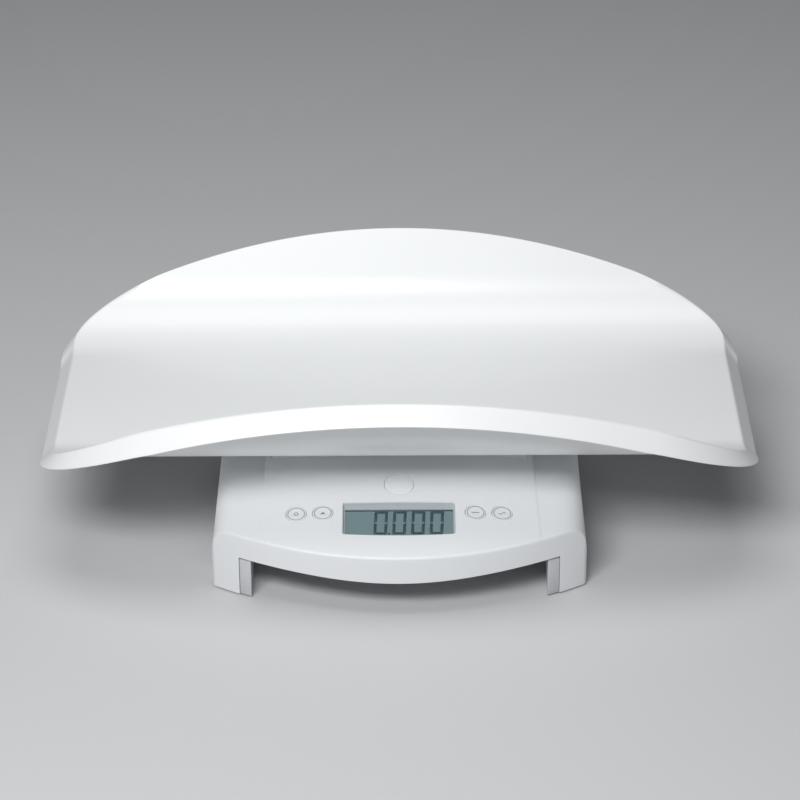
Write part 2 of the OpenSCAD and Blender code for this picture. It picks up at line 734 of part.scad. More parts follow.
module lcd_glass() {
    color([0.44, 0.55, 0.56]) on_console()
        block([-lcd_half, lcd_low_s, -lcd_depth - lcd_t], [lcd_half, lcd_high_s, -lcd_depth]);
}

module lcd_light_guide() {
    color("aliceblue") on_console()
        block([-lcd_half, lcd_low_s + strip_w + 0.5, -board_depth],
            [lcd_half, lcd_high_s - strip_w - 0.5, -lcd_depth - lcd_t]);
}

module lcd_contact_strips() {
    color("dimgray") on_console() for (s = [lcd_low_s, lcd_high_s - strip_w])
        block([-lcd_half + 5, max(s, board_low_s), -board_depth],
            [lcd_half - 5, s + strip_w, -lcd_depth - lcd_t]);
}

module main_board() {
    color("seagreen") on_console() difference() {
        block([-board_half, board_low_s, -board_depth - board_t], [board_half, board_high_s, -board_depth]);
        at_board_screws() translate([0, 0, -board_depth - 5]) cylinder(d = screw_d + 0.4, h = 10);
    }
}

module board_chips() {
    color([0.15, 0.15, 0.16]) on_console() for (c = chips)
        translate([c[0], board_low_s + c[1], -board_depth - board_t])
            mirror([0, 0, 1]) cube([c[2], c[3], c[4]]);
}

module board_screws() {
    color("silver") on_console() at_board_screws()
        translate([0, 0, -board_depth - board_t]) screw(board_t + board_grip);
}

module key_switches() {
    color([0.2, 0.2, 0.22]) on_console() for (x = key_places)
        translate([x, key_s, -board_depth]) difference() {
            block([-switch_half, -switch_half, 0], [switch_half, switch_half, switch_t]);
            translate([0, 0, switch_t - key_travel - 0.8]) cylinder(d = plunger_d + 0.2, h = 5);
        }
}

plunger_top = -switch_top + plunger_rise;

// A key cap with its top cut to the console's crown, a flange under the panel and a stem
module key(place) {
    x = key_places[place];
    color("whitesmoke") on_console() intersection() {
        translate([x, key_s, 0]) {
            translate([0, 0, -crown(abs(x) + key_d / 2) - key_cap_t]) cylinder(d = key_d, h = key_cap_t + 8);
            translate([0, 0, -crown(abs(x) + key_d / 2) - base_wall - 0.35 - key_flange_t])
                cylinder(d = key_d + 2.4, h = key_flange_t);
            translate([0, 0, -crown(abs(x) + key_d / 2) - base_wall - 0.35 - tiny])
                cylinder(d = key_d - 1, h = base_wall);
            translate([0, 0, plunger_top]) cylinder(d = 5, h = -plunger_top - crown(x) - 1);
        }
        translate([0, 0, key_lift - crown_r]) rotate([90, 0, 0])
            cylinder(r = crown_r, h = 2 * far, center = true, $fn = 96);
    }
}

module plunger(place) {
    low = plunger_top - plunger_rise - key_travel / 2;
    color("ivory") on_console() translate([key_places[place], key_s, low])
        cylinder(d = plunger_d, h = plunger_rise + key_travel / 2);
}

module key_outer_left() { key(0); }
module key_inner_left() { key(1); }
module key_inner_right() { key(2); }
module key_outer_right() { key(3); }
module plunger_outer_left() { plunger(0); }
module plunger_inner_left() { plunger(1); }
module plunger_inner_right() { plunger(2); }
module plunger_outer_right() { plunger(3); }

// ---- Tray release --------------------------------------------------------------------------------

module release_button() {
    color("white") {
        on_console() translate([0, release_s, 0]) {
            translate([0, 0, -2.5]) cylinder(d = release_d, h = 2.5);
            translate([0, 0, -base_wall - 0.35 - 1.2]) ring(release_d + 2, release_d - 3, 1.2);
            translate([0, 0, -base_wall - 0.35 - tiny]) ring(release_d, release_d - 3, base_wall - 1);
            translate([0, 0, -stem_low]) cylinder(d = 8, h = stem_low - 1.5);
        }
        // wedge that pushes the latch towards the user
        intersection() {
            block([-wedge_half, wedge_back_y - wedge_depth, wedge_tip_z],
                [wedge_half, wedge_back_y, wedge_tip_z + wedge_h]);
            translate([0, wedge_back_y, wedge_tip_z]) rotate([-45, 0, 0])
                block([-wedge_half - 1, -20, 0], [wedge_half + 1, 20, 20]);
        }
    }
}

module release_spring() {
    color("silver") on_console() translate([0, release_s, -stem_low]) ring(12.4, 10.6, stem_low - 2.5);
}

module latch_slide() {
    color("lightgray") difference() {
        union() {
            block([-latch_width / 2, latch_front_y, latch_z], [latch_width / 2, latch_back_y, latch_top]);
            block([-nose_half, latch_back_y - 1, latch_z], [nose_half, nose_y, latch_top]);
        }
        // window for the wedge: its front wall slopes as the wedge does
        intersection() {
            block([-wedge_half - 0.6, wedge_back_y - 8, latch_z - 1],
                [wedge_half + 0.6, wedge_back_y + latch_travel + 1.9, latch_top + 1]);
            translate([0, wedge_back_y - wedge_gap, wedge_tip_z]) rotate([-45, 0, 0])
                block([-20, -20, 0], [20, 20, 30]);
        }
    }
}

module latch_spring() {
    color("silver") translate([0, latch_front_y, latch_z + latch_t / 2]) rotate([90, 0, 0])
        ring(6, 4.4, latch_front_y - rib_y);
}

// ---- Load cells and feet -------------------------------------------------------------------------

module at_corner(c) {
    mirror([corners[c][0] < 0 ? 1 : 0, 0, 0]) mirror([0, corners[c][1] > 0 ? 1 : 0, 0]) children();
}

module load_cell(c) {
    color("silver") at_corner(c) difference() {
        block([foot_x - cell_width / 2, cell_inner_y - cell_length, cell_z],
            [foot_x + cell_width / 2, cell_inner_y, cell_z + cell_t]);
        // waist where the strain gauges sit, and the clamp's hole
        translate([foot_x, cell_inner_y - cell_length / 2, cell_z + cell_t / 2]) rotate([0, 90, 0])
            cylinder(d = cell_t * 0.6, h = far, center = true);
        translate([foot_x, cell_screw_y, cell_z - 1]) cylinder(d = screw_d + 0.4, h = cell_t + 2);
    }
}

module foot_carrier(c) {
    color("dimgray") at_corner(c) translate([foot_x, -foot_y, 0]) difference() {
        union() {
            translate([0, 0, foot_t - 1.8]) cylinder(d = carrier_d, h = cell_z - foot_t + 1.8 - 2);
            translate([0, 0, well_floor_z + well_floor_t + 0.3]) cylinder(d = carrier_d + 3.4, h = 1.6);
            translate([0, 0, cell_z - 3]) cylinder(d = 7, h = 3);
        }
        translate([0, 0, -1]) cylinder(d = foot_d, h = foot_t + 1);
    }
}

module rubber_foot(c) {
    color([0.25, 0.25, 0.26]) at_corner(c) translate([foot_x, -foot_y, 0])
        cylinder(d = foot_d, h = foot_t);
}

module load_cell_front_left() { load_cell(0); }
module load_cell_front_right() { load_cell(1); }
module load_cell_back_left() { load_cell(2); }
module load_cell_back_right() { load_cell(3); }
module foot_carrier_front_left() { foot_carrier(0); }
module foot_carrier_front_right() { foot_carrier(1); }
module foot_carrier_back_left() { foot_carrier(2); }
module foot_carrier_back_right() { foot_carrier(3); }
module rubber_foot_front_left() { rubber_foot(0); }
module rubber_foot_front_right() { rubber_foot(1); }
module rubber_foot_back_left() { rubber_foot(2); }
module rubber_foot_back_right() { rubber_foot(3); }

module load_cell_screws() {
    color("silver") for (c = [0 : 3]) at_corner(c)
        translate([foot_x, cell_screw_y, cell_z]) screw(cell_t + cell_grip);
}

// ---- Batteries -----------------------------------------------------------------------------------

function battery_x(k) = (k - 1.5) * bay_pitch;

// Neighbouring cells lie head to tail, so every other one is turned round
module turned(k, side) {
    rotate([k % 2 == 0 ? side * 90 : -side * 90, 0, 0]) children();
}

module battery(k) {
    color([0.32, 0.34, 0.38]) translate([battery_x(k), bay_y, battery_z]) turned(k, 1) {
        cylinder(d = battery_d, h = battery_length, center = true);
        translate([0, 0, battery_length / 2 - tiny]) cylinder(d = 5.5, h = 1 + tiny);
    }
}

module battery_1() { battery(0); }
module battery_2() { battery(1); }
module battery_3() { battery(2); }
module battery_4() { battery(3); }

contact_t = 0.4;
contact_w = 10;
contact_h = 9;
coil_d = 7;
coil_wire = 0.7;

module battery_contacts() {
    reach = bay_half_y - contact_t / 2;
    color("gold") for (k = [0 : 3], side = [-1, 1])
        translate([battery_x(k), bay_y + side * reach, battery_z])
            cube([contact_w, contact_t, contact_h], center = true);
}

module battery_springs() {
    spring_length = bay_half_y - contact_t - battery_length / 2;
    color("silver") for (k = [0 : 3])
        translate([battery_x(k), bay_y, battery_z]) turned(k, -1)
            translate([0, 0, battery_length / 2]) ring(coil_d, coil_d - 2 * coil_wire, spring_length);
}

// Door under the bay: a plate in two rails, with a grip of four ribs near its rear edge
module battery_door() {
    color("gainsboro") {
        block([-door_half_x, bay_y - door_half_y, door_z],
            [door_half_x, bay_y + door_half_y, door_z + door_t]);
        for (k = [0 : 3]) block([-12, bay_y + door_half_y - 8 - 3 * k, door_z - 0.8],
            [12, bay_y + door_half_y - 6.8 - 3 * k, door_z + tiny]);
    }
}

// ---- Nodes ---------------------------------------------------------------------------------------

weighing_tray();
tray_bracket();
tray_screws();
upper_housing();
lower_housing();
housing_screws();
display_window();
display_bezel();
lcd_glass();
lcd_light_guide();
lcd_contact_strips();
main_board();
board_chips();
board_screws();
key_switches();
key_outer_left();
key_inner_left();
key_inner_right();
key_outer_right();
plunger_outer_left();
plunger_inner_left();
plunger_inner_right();
plunger_outer_right();
release_button();
release_spring();
latch_slide();
latch_spring();
load_cell_front_left();
load_cell_front_right();
load_cell_back_left();
load_cell_back_right();
foot_carrier_front_left();
foot_carrier_front_right();
foot_carrier_back_left();
foot_carrier_back_right();
rubber_foot_front_left();
rubber_foot_front_right();
rubber_foot_back_left();
rubber_foot_back_right();
load_cell_screws();
battery_1();
battery_2();
battery_3();
battery_4();
battery_contacts();
battery_springs();
battery_door();
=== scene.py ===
"""Digital baby weighing scale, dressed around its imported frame.

The tray and the base's shells are surfaces worked out with numpy in millimetres, in the frame of the
CAD model: X along the tray, -Y towards the user, Z up, the floor at Z = 0.
"""
import logging
import math
from dataclasses import dataclass, field
from enum import Enum
from typing import Callable, Optional, Sequence, Union

import bpy
import numpy as np
from mathutils import Matrix, Vector


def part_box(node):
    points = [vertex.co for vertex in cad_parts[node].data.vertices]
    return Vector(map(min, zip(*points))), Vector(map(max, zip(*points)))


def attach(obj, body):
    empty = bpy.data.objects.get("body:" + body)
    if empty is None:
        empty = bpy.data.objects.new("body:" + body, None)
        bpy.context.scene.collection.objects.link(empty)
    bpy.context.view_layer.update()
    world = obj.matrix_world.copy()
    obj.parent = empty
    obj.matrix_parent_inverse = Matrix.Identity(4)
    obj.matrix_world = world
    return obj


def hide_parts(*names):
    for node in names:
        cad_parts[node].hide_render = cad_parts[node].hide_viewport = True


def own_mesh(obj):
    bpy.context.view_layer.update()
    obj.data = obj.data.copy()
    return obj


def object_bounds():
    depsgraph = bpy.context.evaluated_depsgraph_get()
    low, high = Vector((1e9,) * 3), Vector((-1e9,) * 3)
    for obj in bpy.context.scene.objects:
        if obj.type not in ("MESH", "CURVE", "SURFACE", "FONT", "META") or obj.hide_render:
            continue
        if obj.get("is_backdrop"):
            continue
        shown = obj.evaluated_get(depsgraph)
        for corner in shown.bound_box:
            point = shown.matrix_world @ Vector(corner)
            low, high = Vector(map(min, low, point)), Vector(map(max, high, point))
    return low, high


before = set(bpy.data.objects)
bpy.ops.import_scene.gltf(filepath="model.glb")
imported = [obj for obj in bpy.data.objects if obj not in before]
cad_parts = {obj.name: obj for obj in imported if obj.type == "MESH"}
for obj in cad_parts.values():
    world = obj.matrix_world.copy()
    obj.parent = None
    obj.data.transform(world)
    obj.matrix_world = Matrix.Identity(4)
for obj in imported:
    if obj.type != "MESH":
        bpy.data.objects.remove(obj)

LOG = logging.getLogger("baby_scale")
MM = 0.001                   # one millimetre in the frame's metres
SHARP_ANGLE = 32.0           # edges that turn by more than this are drawn sharp
Array = np.ndarray


# ---------------------------------------------------------------------------------------------------
# Numbers and surfaces
# ---------------------------------------------------------------------------------------------------

def smooth_min(a: Array, b: Array, blend: float) -> Array:
    """Smaller of two heights with a rounded join: min(a, b) less h^2 * blend / 4, h = how near they are.

    Args:
        a: first height.
        b: second height.
        blend: width of the rounded join.

    Returns:
        The blended height.
    """
    near = np.clip(1.0 - np.abs(a - b) / blend, 0.0, 1.0)
    return np.minimum(a, b) - near * near * blend * 0.25


def smooth_max(a: Array, b: Array, blend: float) -> Array:
    """Larger of two heights with a rounded join, the mirror image of smooth_min."""
    return -smooth_min(-a, -b, blend)


def box_of(node: str) -> tuple[Array, Array]:
    """Lowest and highest corner of a CAD node, in millimetres."""
    low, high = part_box(node)
    return np.array(low) / MM, np.array(high) / MM


class Surface:
    """Points and faces gathered patch by patch, then made into one closed mesh."""

    def __init__(self) -> None:
        self.points: list[Array] = []
        self.faces: list[Array] = []
        self.count = 0

    def add(self, points: Array, faces: Array) -> None:
        """Adds points (n, 3) and faces (m, 3 or 4) that index them."""
        self.points.append(points)
        self.faces.append(faces + self.count)
        self.count += len(points)

    def grid(self, points: Array, closed_u: bool = False, closed_v: bool = False, flip: bool = False) -> None:
        """Adds a grid of quads: face (i, j) joins points (i, j), (i+1, j), (i+1, j+1) and (i, j+1).

        Args:
            points: array (n, m, 3).
            closed_u: the last row joins the first.
            closed_v: the last column joins the first.
            flip: turns the faces over.
        """
        rows, columns = points.shape[:2]
        index = np.arange(rows * columns).reshape(rows, columns)
        if closed_u:
            index = np.vstack([index, index[:1]])
        if closed_v:
            index = np.hstack([index, index[:, :1]])
        quads = np.stack([index[:-1, :-1], index[1:, :-1], index[1:, 1:], index[:-1, 1:]], axis=-1)
        quads = quads.reshape(-1, 4)
        self.add(points.reshape(-1, 3), quads[:, ::-1] if flip else quads)

    def fan(self, ring: Array, flip: bool = False) -> None:
        """Closes a ring (n, 3) with triangles that meet at its middle."""
        count = len(ring)
        steps = np.arange(count)
        faces = np.stack([steps, np.roll(steps, -1), np.full(count, count)], axis=-1)
        self.add(np.vstack([ring, ring.mean(axis=0)]), faces[:, ::-1] if flip else faces)

    def mesh(self, name: str) -> bpy.types.Mesh:
        """Makes the Blender mesh, in metres, with its doubled points merged."""
        points = np.vstack(self.points) * MM
        sizes = np.concatenate([np.full(len(f), f.shape[1]) for f in self.faces])
        corners = np.concatenate([f.reshape(-1) for f in self.faces])
        data = bpy.data.meshes.new(name)
        data.vertices.add(len(points))
        data.vertices.foreach_set("co", points.reshape(-1))
        data.loops.add(len(corners))
        data.loops.foreach_set("vertex_index", corners.astype(np.int32))
        data.polygons.add(len(sizes))
        data.polygons.foreach_set("loop_start", (np.cumsum(sizes) - sizes).astype(np.int32))
        data.update(calc_edges=True)
        data.validate()
        merge_doubles(data, 0.002 * MM)
        return data


def merge_doubles(data: bpy.types.Mesh, distance: float) -> None:
    """Merges points nearer to each other than distance, in metres."""
    import bmesh
    work = bmesh.new()
    work.from_mesh(data)
    bmesh.ops.remove_doubles(work, verts=work.verts, dist=distance)
    work.to_mesh(data)
    work.free()


def shade(data: bpy.types.Mesh, angle: float = SHARP_ANGLE) -> None:
    """Shades a mesh smooth, with edges sharper than angle, in degrees, kept sharp."""
    data.shade_smooth()
    data.set_sharp_from_angle(angle=math.radians(angle))


def new_object(name: str, data: bpy.types.Mesh) -> bpy.types.Object:
    """Puts a mesh into the scene under a name."""
    piece = bpy.data.objects.new(name, data)
    bpy.context.scene.collection.objects.link(piece)
    return piece


def settle(piece: bpy.types.Object, name: str) -> bpy.types.Object:
    """Applies a piece's modifiers and shades the result.

    Args:
        piece: object with modifiers.
        name: name of the finished piece.

    Returns:
        The finished object. The first one is removed.
    """
    graph = bpy.context.evaluated_depsgraph_get()
    data = bpy.data.meshes.new_from_object(piece.evaluated_get(graph))
    old = piece.data
    bpy.data.objects.remove(piece)
    bpy.data.meshes.remove(old)
    data.name = name
    data.materials.clear()
    shade(data)
    return new_object(name, data)


def revolve(profile: Sequence[tuple[float, float]], segments: int = 96) -> Surface:
    """Surface of revolution: (radius, height) pairs from the top's middle outwards and down, turned about Z.

    Args:
        profile: points as (radius, height); the first and last may lie on the axis.
        segments: steps round the axis.

    Returns:
        The surface, closed where the profile starts and ends on the axis.
    """
    radius, height = np.array(profile, float).T
    turn = np.linspace(0.0, 2.0 * math.pi, segments, endpoint=False)
    points = np.stack([
        radius[:, None] * np.cos(turn), radius[:, None] * np.sin(turn),
        np.broadcast_to(height[:, None], (len(radius), segments)),
    ], axis=-1)
    surface = Surface()
    surface.grid(points, closed_v=True)
    return surface


def rounded(corner: tuple[float, float], radius: float, start: float, steps: int = 6) -> list[tuple[float, float]]:
    """Quarter round of a profile: points at radius from corner, from start degrees through -90 more."""
    angles = np.radians(start - np.linspace(0.0, 90.0, steps + 1))
    return [(corner[0] + radius * math.cos(a), corner[1] + radius * math.sin(a)) for a in angles]


# ---------------------------------------------------------------------------------------------------
# Shader maths
# ---------------------------------------------------------------------------------------------------

Value = Union["Socket", float, int]


class Socket:
    """Output socket of a material's node, on which the arithmetic operators add Math nodes."""

    def __init__(self, shader: "Shader", output: bpy.types.NodeSocket) -> None:
        self.shader = shader
        self.output = output

    def _math(self, operation: str, first: Value, second: Value) -> "Socket":
        """Adds one Math node that works on two values."""
        return self.shader.node("ShaderNodeMath", {"operation": operation}, {0: first, 1: second})

    def __add__(self, other: Value) -> "Socket":
        """self + other."""
        return self._math("ADD", self, other)

    def __radd__(self, other: Value) -> "Socket":
        """other + self."""
        return self._math("ADD", other, self)

    def __sub__(self, other: Value) -> "Socket":
        """self - other."""
        return self._math("SUBTRACT", self, other)

    def __rsub__(self, other: Value) -> "Socket":
        """other - self."""
        return self._math("SUBTRACT", other, self)

    def __mul__(self, other: Value) -> "Socket":
        """self * other."""
        return self._math("MULTIPLY", self, other)

    def __rmul__(self, other: Value) -> "Socket":
        """other * self."""
        return self._math("MULTIPLY", other, self)

    def __truediv__(self, other: Value) -> "Socket":
        """self / other."""
        return self._math("DIVIDE", self, other)

    def __pow__(self, other: Value) -> "Socket":
        """self to the power of other."""
        return self._math("POWER", self, other)


class Shader:
    """One material under construction, with its nodes made by a single method."""

    def __init__(self, name: str) -> None:
        self.material = bpy.data.materials.new(name)
        self.material.use_nodes = True
        self.tree = self.material.node_tree
        self.tree.nodes.clear()
        self.body = self.tree.nodes.new("ShaderNodeBsdfPrincipled")
        output = self.tree.nodes.new("ShaderNodeOutputMaterial")
        self.tree.links.new(self.body.outputs["BSDF"], output.inputs["Surface"])

    def node(self, kind: str, settings: Optional[dict] = None, inputs: Optional[dict] = None,
             output: Union[int, str] = 0) -> Socket:
        """Adds a node.

        Args:
            kind: the node's type.
            settings: its properties; "stops" is a list of (place, colour) for a ramp.
            inputs: values or Sockets by socket name or number.
            output: which output to return.

        Returns:
            The chosen output as a Socket.
        """
        made = self.tree.nodes.new(kind)
        for key, value in (settings or {}).items():
            if key == "stops":
                for _ in range(len(value) - len(made.color_ramp.elements)):
                    made.color_ramp.elements.new(0.5)
                for element, (place, colour) in zip(made.color_ramp.elements, value):
                    element.position, element.color = place, colour
            else:
                setattr(made, key, value)
        for key, value in (inputs or {}).items():
            self.feed(made.inputs[key], value)
        return Socket(self, made.outputs[output])

    def feed(self, socket: bpy.types.NodeSocket, value: object) -> None:
        """Links a Socket to an input, or sets the input's own value."""
        if isinstance(value, Socket):
            self.tree.links.new(value.output, socket)
        else:
            socket.default_value = value

    def set(self, **inputs: object) -> None:
        """Sets or links inputs of the Principled shader; _ stands for a space in a name."""
        for key, value in inputs.items():
            self.feed(self.body.inputs[key.replace("_", " ")], value)

    def place(self) -> Socket:
        """Object coordinates, in metres."""
        return self.node("ShaderNodeTexCoord", output="Object")

    def noise(self, scale: float, detail: float = 3.0, roughness: float = 0.5) -> Socket:
        """Noise between 0 and 1 with about scale features to the metre."""
        settings = {"noise_dimensions": "3D"}
        inputs = {"Vector": self.place(), "Scale": scale, "Detail": detail, "Roughness": roughness}
        return self.node("ShaderNodeTexNoise", settings, inputs, "Fac")

    def mix(self, factor: Value, first: Sequence[float], second: Sequence[float]) -> Socket:
        """Colour between two colours."""
        stops = [(0.0, tuple(first)), (1.0, tuple(second))]
        return self.node("ShaderNodeValToRGB", {"stops": stops}, {"Fac": factor}, "Color")

    def bump(self, height: Socket, distance: float, strength: float = 1.0) -> Socket:
        """Normal bent by a height that is distance, in metres, from 0 to 1."""
        return self.node("ShaderNodeBump", {}, {"Height": height, "Distance": distance, "Strength": strength}, "Normal")


def linear(red: float, green: float, blue: float, alpha: float = 1.0) -> tuple[float, float, float, float]:
    """Colour as the shader takes it, from screen values between 0 and 255."""
    def one(value: float) -> float:
        """One channel: a straight foot, then the power 2.4 of the screen's curve."""
        v = value / 255.0
        return v / 12.92 if v <= 0.04045 else ((v + 0.055) / 1.055) ** 2.4
    return one(red), one(green), one(blue), alpha


def lighter(colour: Sequence[float], factor: float) -> tuple[float, float, float, float]:
    """Colour times a factor, with its alpha kept."""
    return tuple(min(1.0, c * factor) for c in colour[:3]) + (colour[3],)


# ---------------------------------------------------------------------------------------------------
# Finishes
# ---------------------------------------------------------------------------------------------------

@dataclass(frozen=True)
class MouldedPlastic:
    """Injection-moulded plastic: faint flow clouds in the colour, uneven gloss and a fine grain."""

    name: str
    colour: tuple[float, float, float, float]
    roughness: float = 0.32
    gloss_spread: float = 0.06
    cloud: float = 0.02
    grain_scale: float = 2600.0
    grain_depth: float = 0.000012
    coat: float = 0.0
    glow_through: float = 0.0

    def make(self) -> bpy.types.Material:
        """Builds the material.

        Returns:
            The finished material.
        """
        shader = Shader(self.name)
        flow = shader.noise(9.0, 2.0)
        speck = shader.noise(160.0, 4.0)
        tint = shader.mix(flow * 0.7 + speck * 0.3, lighter(self.colour, 1.0 - self.cloud),
                          lighter(self.colour, 1.0 + self.cloud))
        grain = shader.noise(self.grain_scale, 2.0, 0.6)
        gloss = speck * self.gloss_spread + (self.roughness - self.gloss_spread / 2.0)
        shader.set(Base_Color=tint, Roughness=gloss, Normal=shader.bump(grain, self.grain_depth),
                   Coat_Weight=self.coat, Coat_Roughness=0.12, IOR=1.5)
        if self.glow_through:
            shader.set(Subsurface_Weight=self.glow_through, Subsurface_Radius=(0.004, 0.004, 0.004))
        return shader.material


@dataclass(frozen=True)
class ClearPlastic:
    """Clear acrylic that lets most light straight through and keeps a glossy face."""

    name: str
    colour: tuple[float, float, float, float]
    alpha: float = 0.06

    def make(self) -> bpy.types.Material:
        """Builds the material, with faint smears that change its gloss."""
        shader = Shader(self.name)
        smear = shader.noise(60.0, 3.0)
        shader.set(Base_Color=self.colour, Alpha=self.alpha, Roughness=smear * 0.03 + 0.02, IOR=1.49)
        return shader.material


@dataclass(frozen=True)
class LiquidCrystal:
    """Face of the display: a grey-green polariser over a fine reflector grain."""

    name: str
    colour: tuple[float, float, float, float]
    roughness: float = 0.42

    def make(self) -> bpy.types.Material:
        """Builds the material."""
        shader = Shader(self.name)
        grain = shader.noise(5200.0, 1.0, 0.7)
        haze = shader.noise(35.0, 2.0)
        tint = shader.mix(grain * 0.35 + haze * 0.65, lighter(self.colour, 0.93), lighter(self.colour, 1.07))
        shader.set(Base_Color=tint, Roughness=self.roughness, Normal=shader.bump(grain, 0.000006))
        return shader.material


@dataclass(frozen=True)
class Metal:
    """Plated or milled metal with fine drawn lines along X."""

    name: str
    colour: tuple[float, float, float, float]
    roughness: float = 0.34

    def make(self) -> bpy.types.Material:
        """Builds the material: noise stretched along X gives the lines."""
        shader = Shader(self.name)
        stretched = shader.node("ShaderNodeMapping", {}, {"Vector": shader.place(), "Scale": (90.0, 1600.0, 1600.0)})
        lines = shader.node("ShaderNodeTexNoise", {"noise_dimensions": "3D"},
                            {"Vector": stretched, "Scale": 1.0, "Detail": 3.0}, "Fac")
        tint = shader.mix(lines, lighter(self.colour, 0.88), lighter(self.colour, 1.08))
        shader.set(Base_Color=tint, Metallic=1.0, Roughness=lines * 0.14 + (self.roughness - 0.07),
                   Normal=shader.bump(lines, 0.000008))
        return shader.material


@dataclass(frozen=True)
class Rubber:
    """Matte moulded rubber with a coarse bloom."""

    name: str
    colour: tuple[float, float, float, float]

    def make(self) -> bpy.types.Material:
        """Builds the material."""
        shader = Shader(self.name)
        bloom = shader.noise(220.0, 4.0)
        tint = shader.mix(bloom, lighter(self.colour, 0.8), lighter(self.colour, 1.5))
        shader.set(Base_Color=tint, Roughness=bloom * 0.15 + 0.7, Normal=shader.bump(shader.noise(1800.0), 0.00003))
        return shader.material


class Finish(Enum):
    """Every finish on the scale."""

    TRAY = MouldedPlastic("tray_white", linear(240, 242, 243), roughness=0.36, grain_depth=0.000006, coat=0.12)
    HOUSING = MouldedPlastic("housing_white", linear(236, 238, 240), roughness=0.40, grain_depth=0.000012)
    UNDERSIDE = MouldedPlastic("underside_grey", linear(205, 207, 210), roughness=0.5, grain_depth=0.00002)
    KEY = MouldedPlastic("key_white", linear(233, 235, 236), roughness=0.34, grain_depth=0.000006)
    BUTTON = MouldedPlastic("button_white", linear(240, 242, 243), roughness=0.34, grain_depth=0.000006)
    # grey of the ring near each key cap's edge and of the keys' signs
    MARK = MouldedPlastic("mark_grey", linear(150, 154, 156), roughness=0.5, grain_depth=0.000004)
    BEZEL = MouldedPlastic("bezel_silver", linear(196, 206, 212), roughness=0.42, grain_depth=0.00001)
    INNER = MouldedPlastic("inner_grey", linear(96, 98, 102), roughness=0.55, grain_depth=0.00002)
    GUIDE = MouldedPlastic("guide_milky", linear(228, 232, 228), roughness=0.3)
    CHIP = MouldedPlastic("chip_black", linear(38, 38, 41), roughness=0.55, cloud=0.1)
    BOARD = MouldedPlastic("solder_mask", linear(40, 110, 78), roughness=0.35, cloud=0.08)
    SLEEVE = MouldedPlastic("cell_sleeve", linear(60, 64, 74), roughness=0.3, cloud=0.06)
    WINDOW = ClearPlastic("acrylic_clear", linear(14, 18, 20))
    LCD = LiquidCrystal("lcd_face", linear(132, 158, 161))
    INK = LiquidCrystal("lcd_ink", linear(66, 92, 98), roughness=0.5)
    EDGE = LiquidCrystal("lcd_edge", linear(92, 116, 122), roughness=0.5)
    STEEL = Metal("plated_steel", linear(186, 188, 192))
    ALLOY = Metal("milled_alloy", linear(198, 200, 204), roughness=0.42)
    BRASS = Metal("spring_brass", linear(206, 178, 110))
    RUBBER = Rubber("rubber_dark", linear(58, 58, 61))
    STRIPE = Rubber("strip_rubber", linear(70, 70, 74))

    def material(self) -> bpy.types.Material:
        """The finish's material, made on first use."""
        made = bpy.data.materials.get(self.value.name)
        return made or self.value.make()


def dress(piece: bpy.types.Object, finish: Finish, body: str, slot: str, *replaced: str) -> bpy.types.Object:
    """Gives a new piece its material and body, and hides the CAD nodes that it stands for.

    Args:
        piece: the piece, with its place in its mesh.
        finish: its finish.
        body: CAD body that it rides on.
        slot: name of a material slot, not used.
        replaced: CAD nodes that it replaces.

    Returns:
        The same piece.
    """
    piece.data.materials.clear()
    piece.data.materials.append(finish.material())
    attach(piece, body)
    if replaced:
        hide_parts(*replaced)
    LOG.info("piece %s rides on %s, %d faces", piece.name, body, len(piece.data.polygons))
    return piece


def cut(piece: bpy.types.Object, cutter: bpy.types.Object) -> None:
    """Adds an exact Boolean that takes the cutter away from the piece."""
    change = piece.modifiers.new("cut", "BOOLEAN")
    change.operation = "DIFFERENCE"
    change.solver = "EXACT"
    change.object = cutter


def softened(node: str, width: float, name: Optional[str] = None, angle: float = 40.0,
             steps: int = 2) -> bpy.types.Object:
    """Copy of a CAD node with its sharp edges rounded.

    Args:
        node: the CAD node.
        width: width of the rounding, in millimetres.
        name: name of the piece, or None for the node's own with _shell after it.
        angle: edges that turn by more than this are rounded.
        steps: segments of the rounding.

    Returns:
        The rounded copy, not yet dressed.
    """
    import bmesh
    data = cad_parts[node].data.copy()
    work = bmesh.new()
    work.from_mesh(data)
    bmesh.ops.remove_doubles(work, verts=work.verts, dist=0.005 * MM)
    bmesh.ops.dissolve_limit(work, angle_limit=math.radians(0.5), verts=work.verts, edges=work.edges,
                             delimit={"NORMAL"})
    work.to_mesh(data)
    work.free()
    piece = new_object("raw_" + node, data)
    bevel = piece.modifiers.new("soft_edges", "BEVEL")
    bevel.width = width * MM
    bevel.segments = steps
    bevel.limit_method = "ANGLE"
    bevel.angle_limit = math.radians(angle)
    bevel.use_clamp_overlap = True
    return settle(piece, name or node + "_shell")


# ---------------------------------------------------------------------------------------------------
# Tray
# ---------------------------------------------------------------------------------------------------

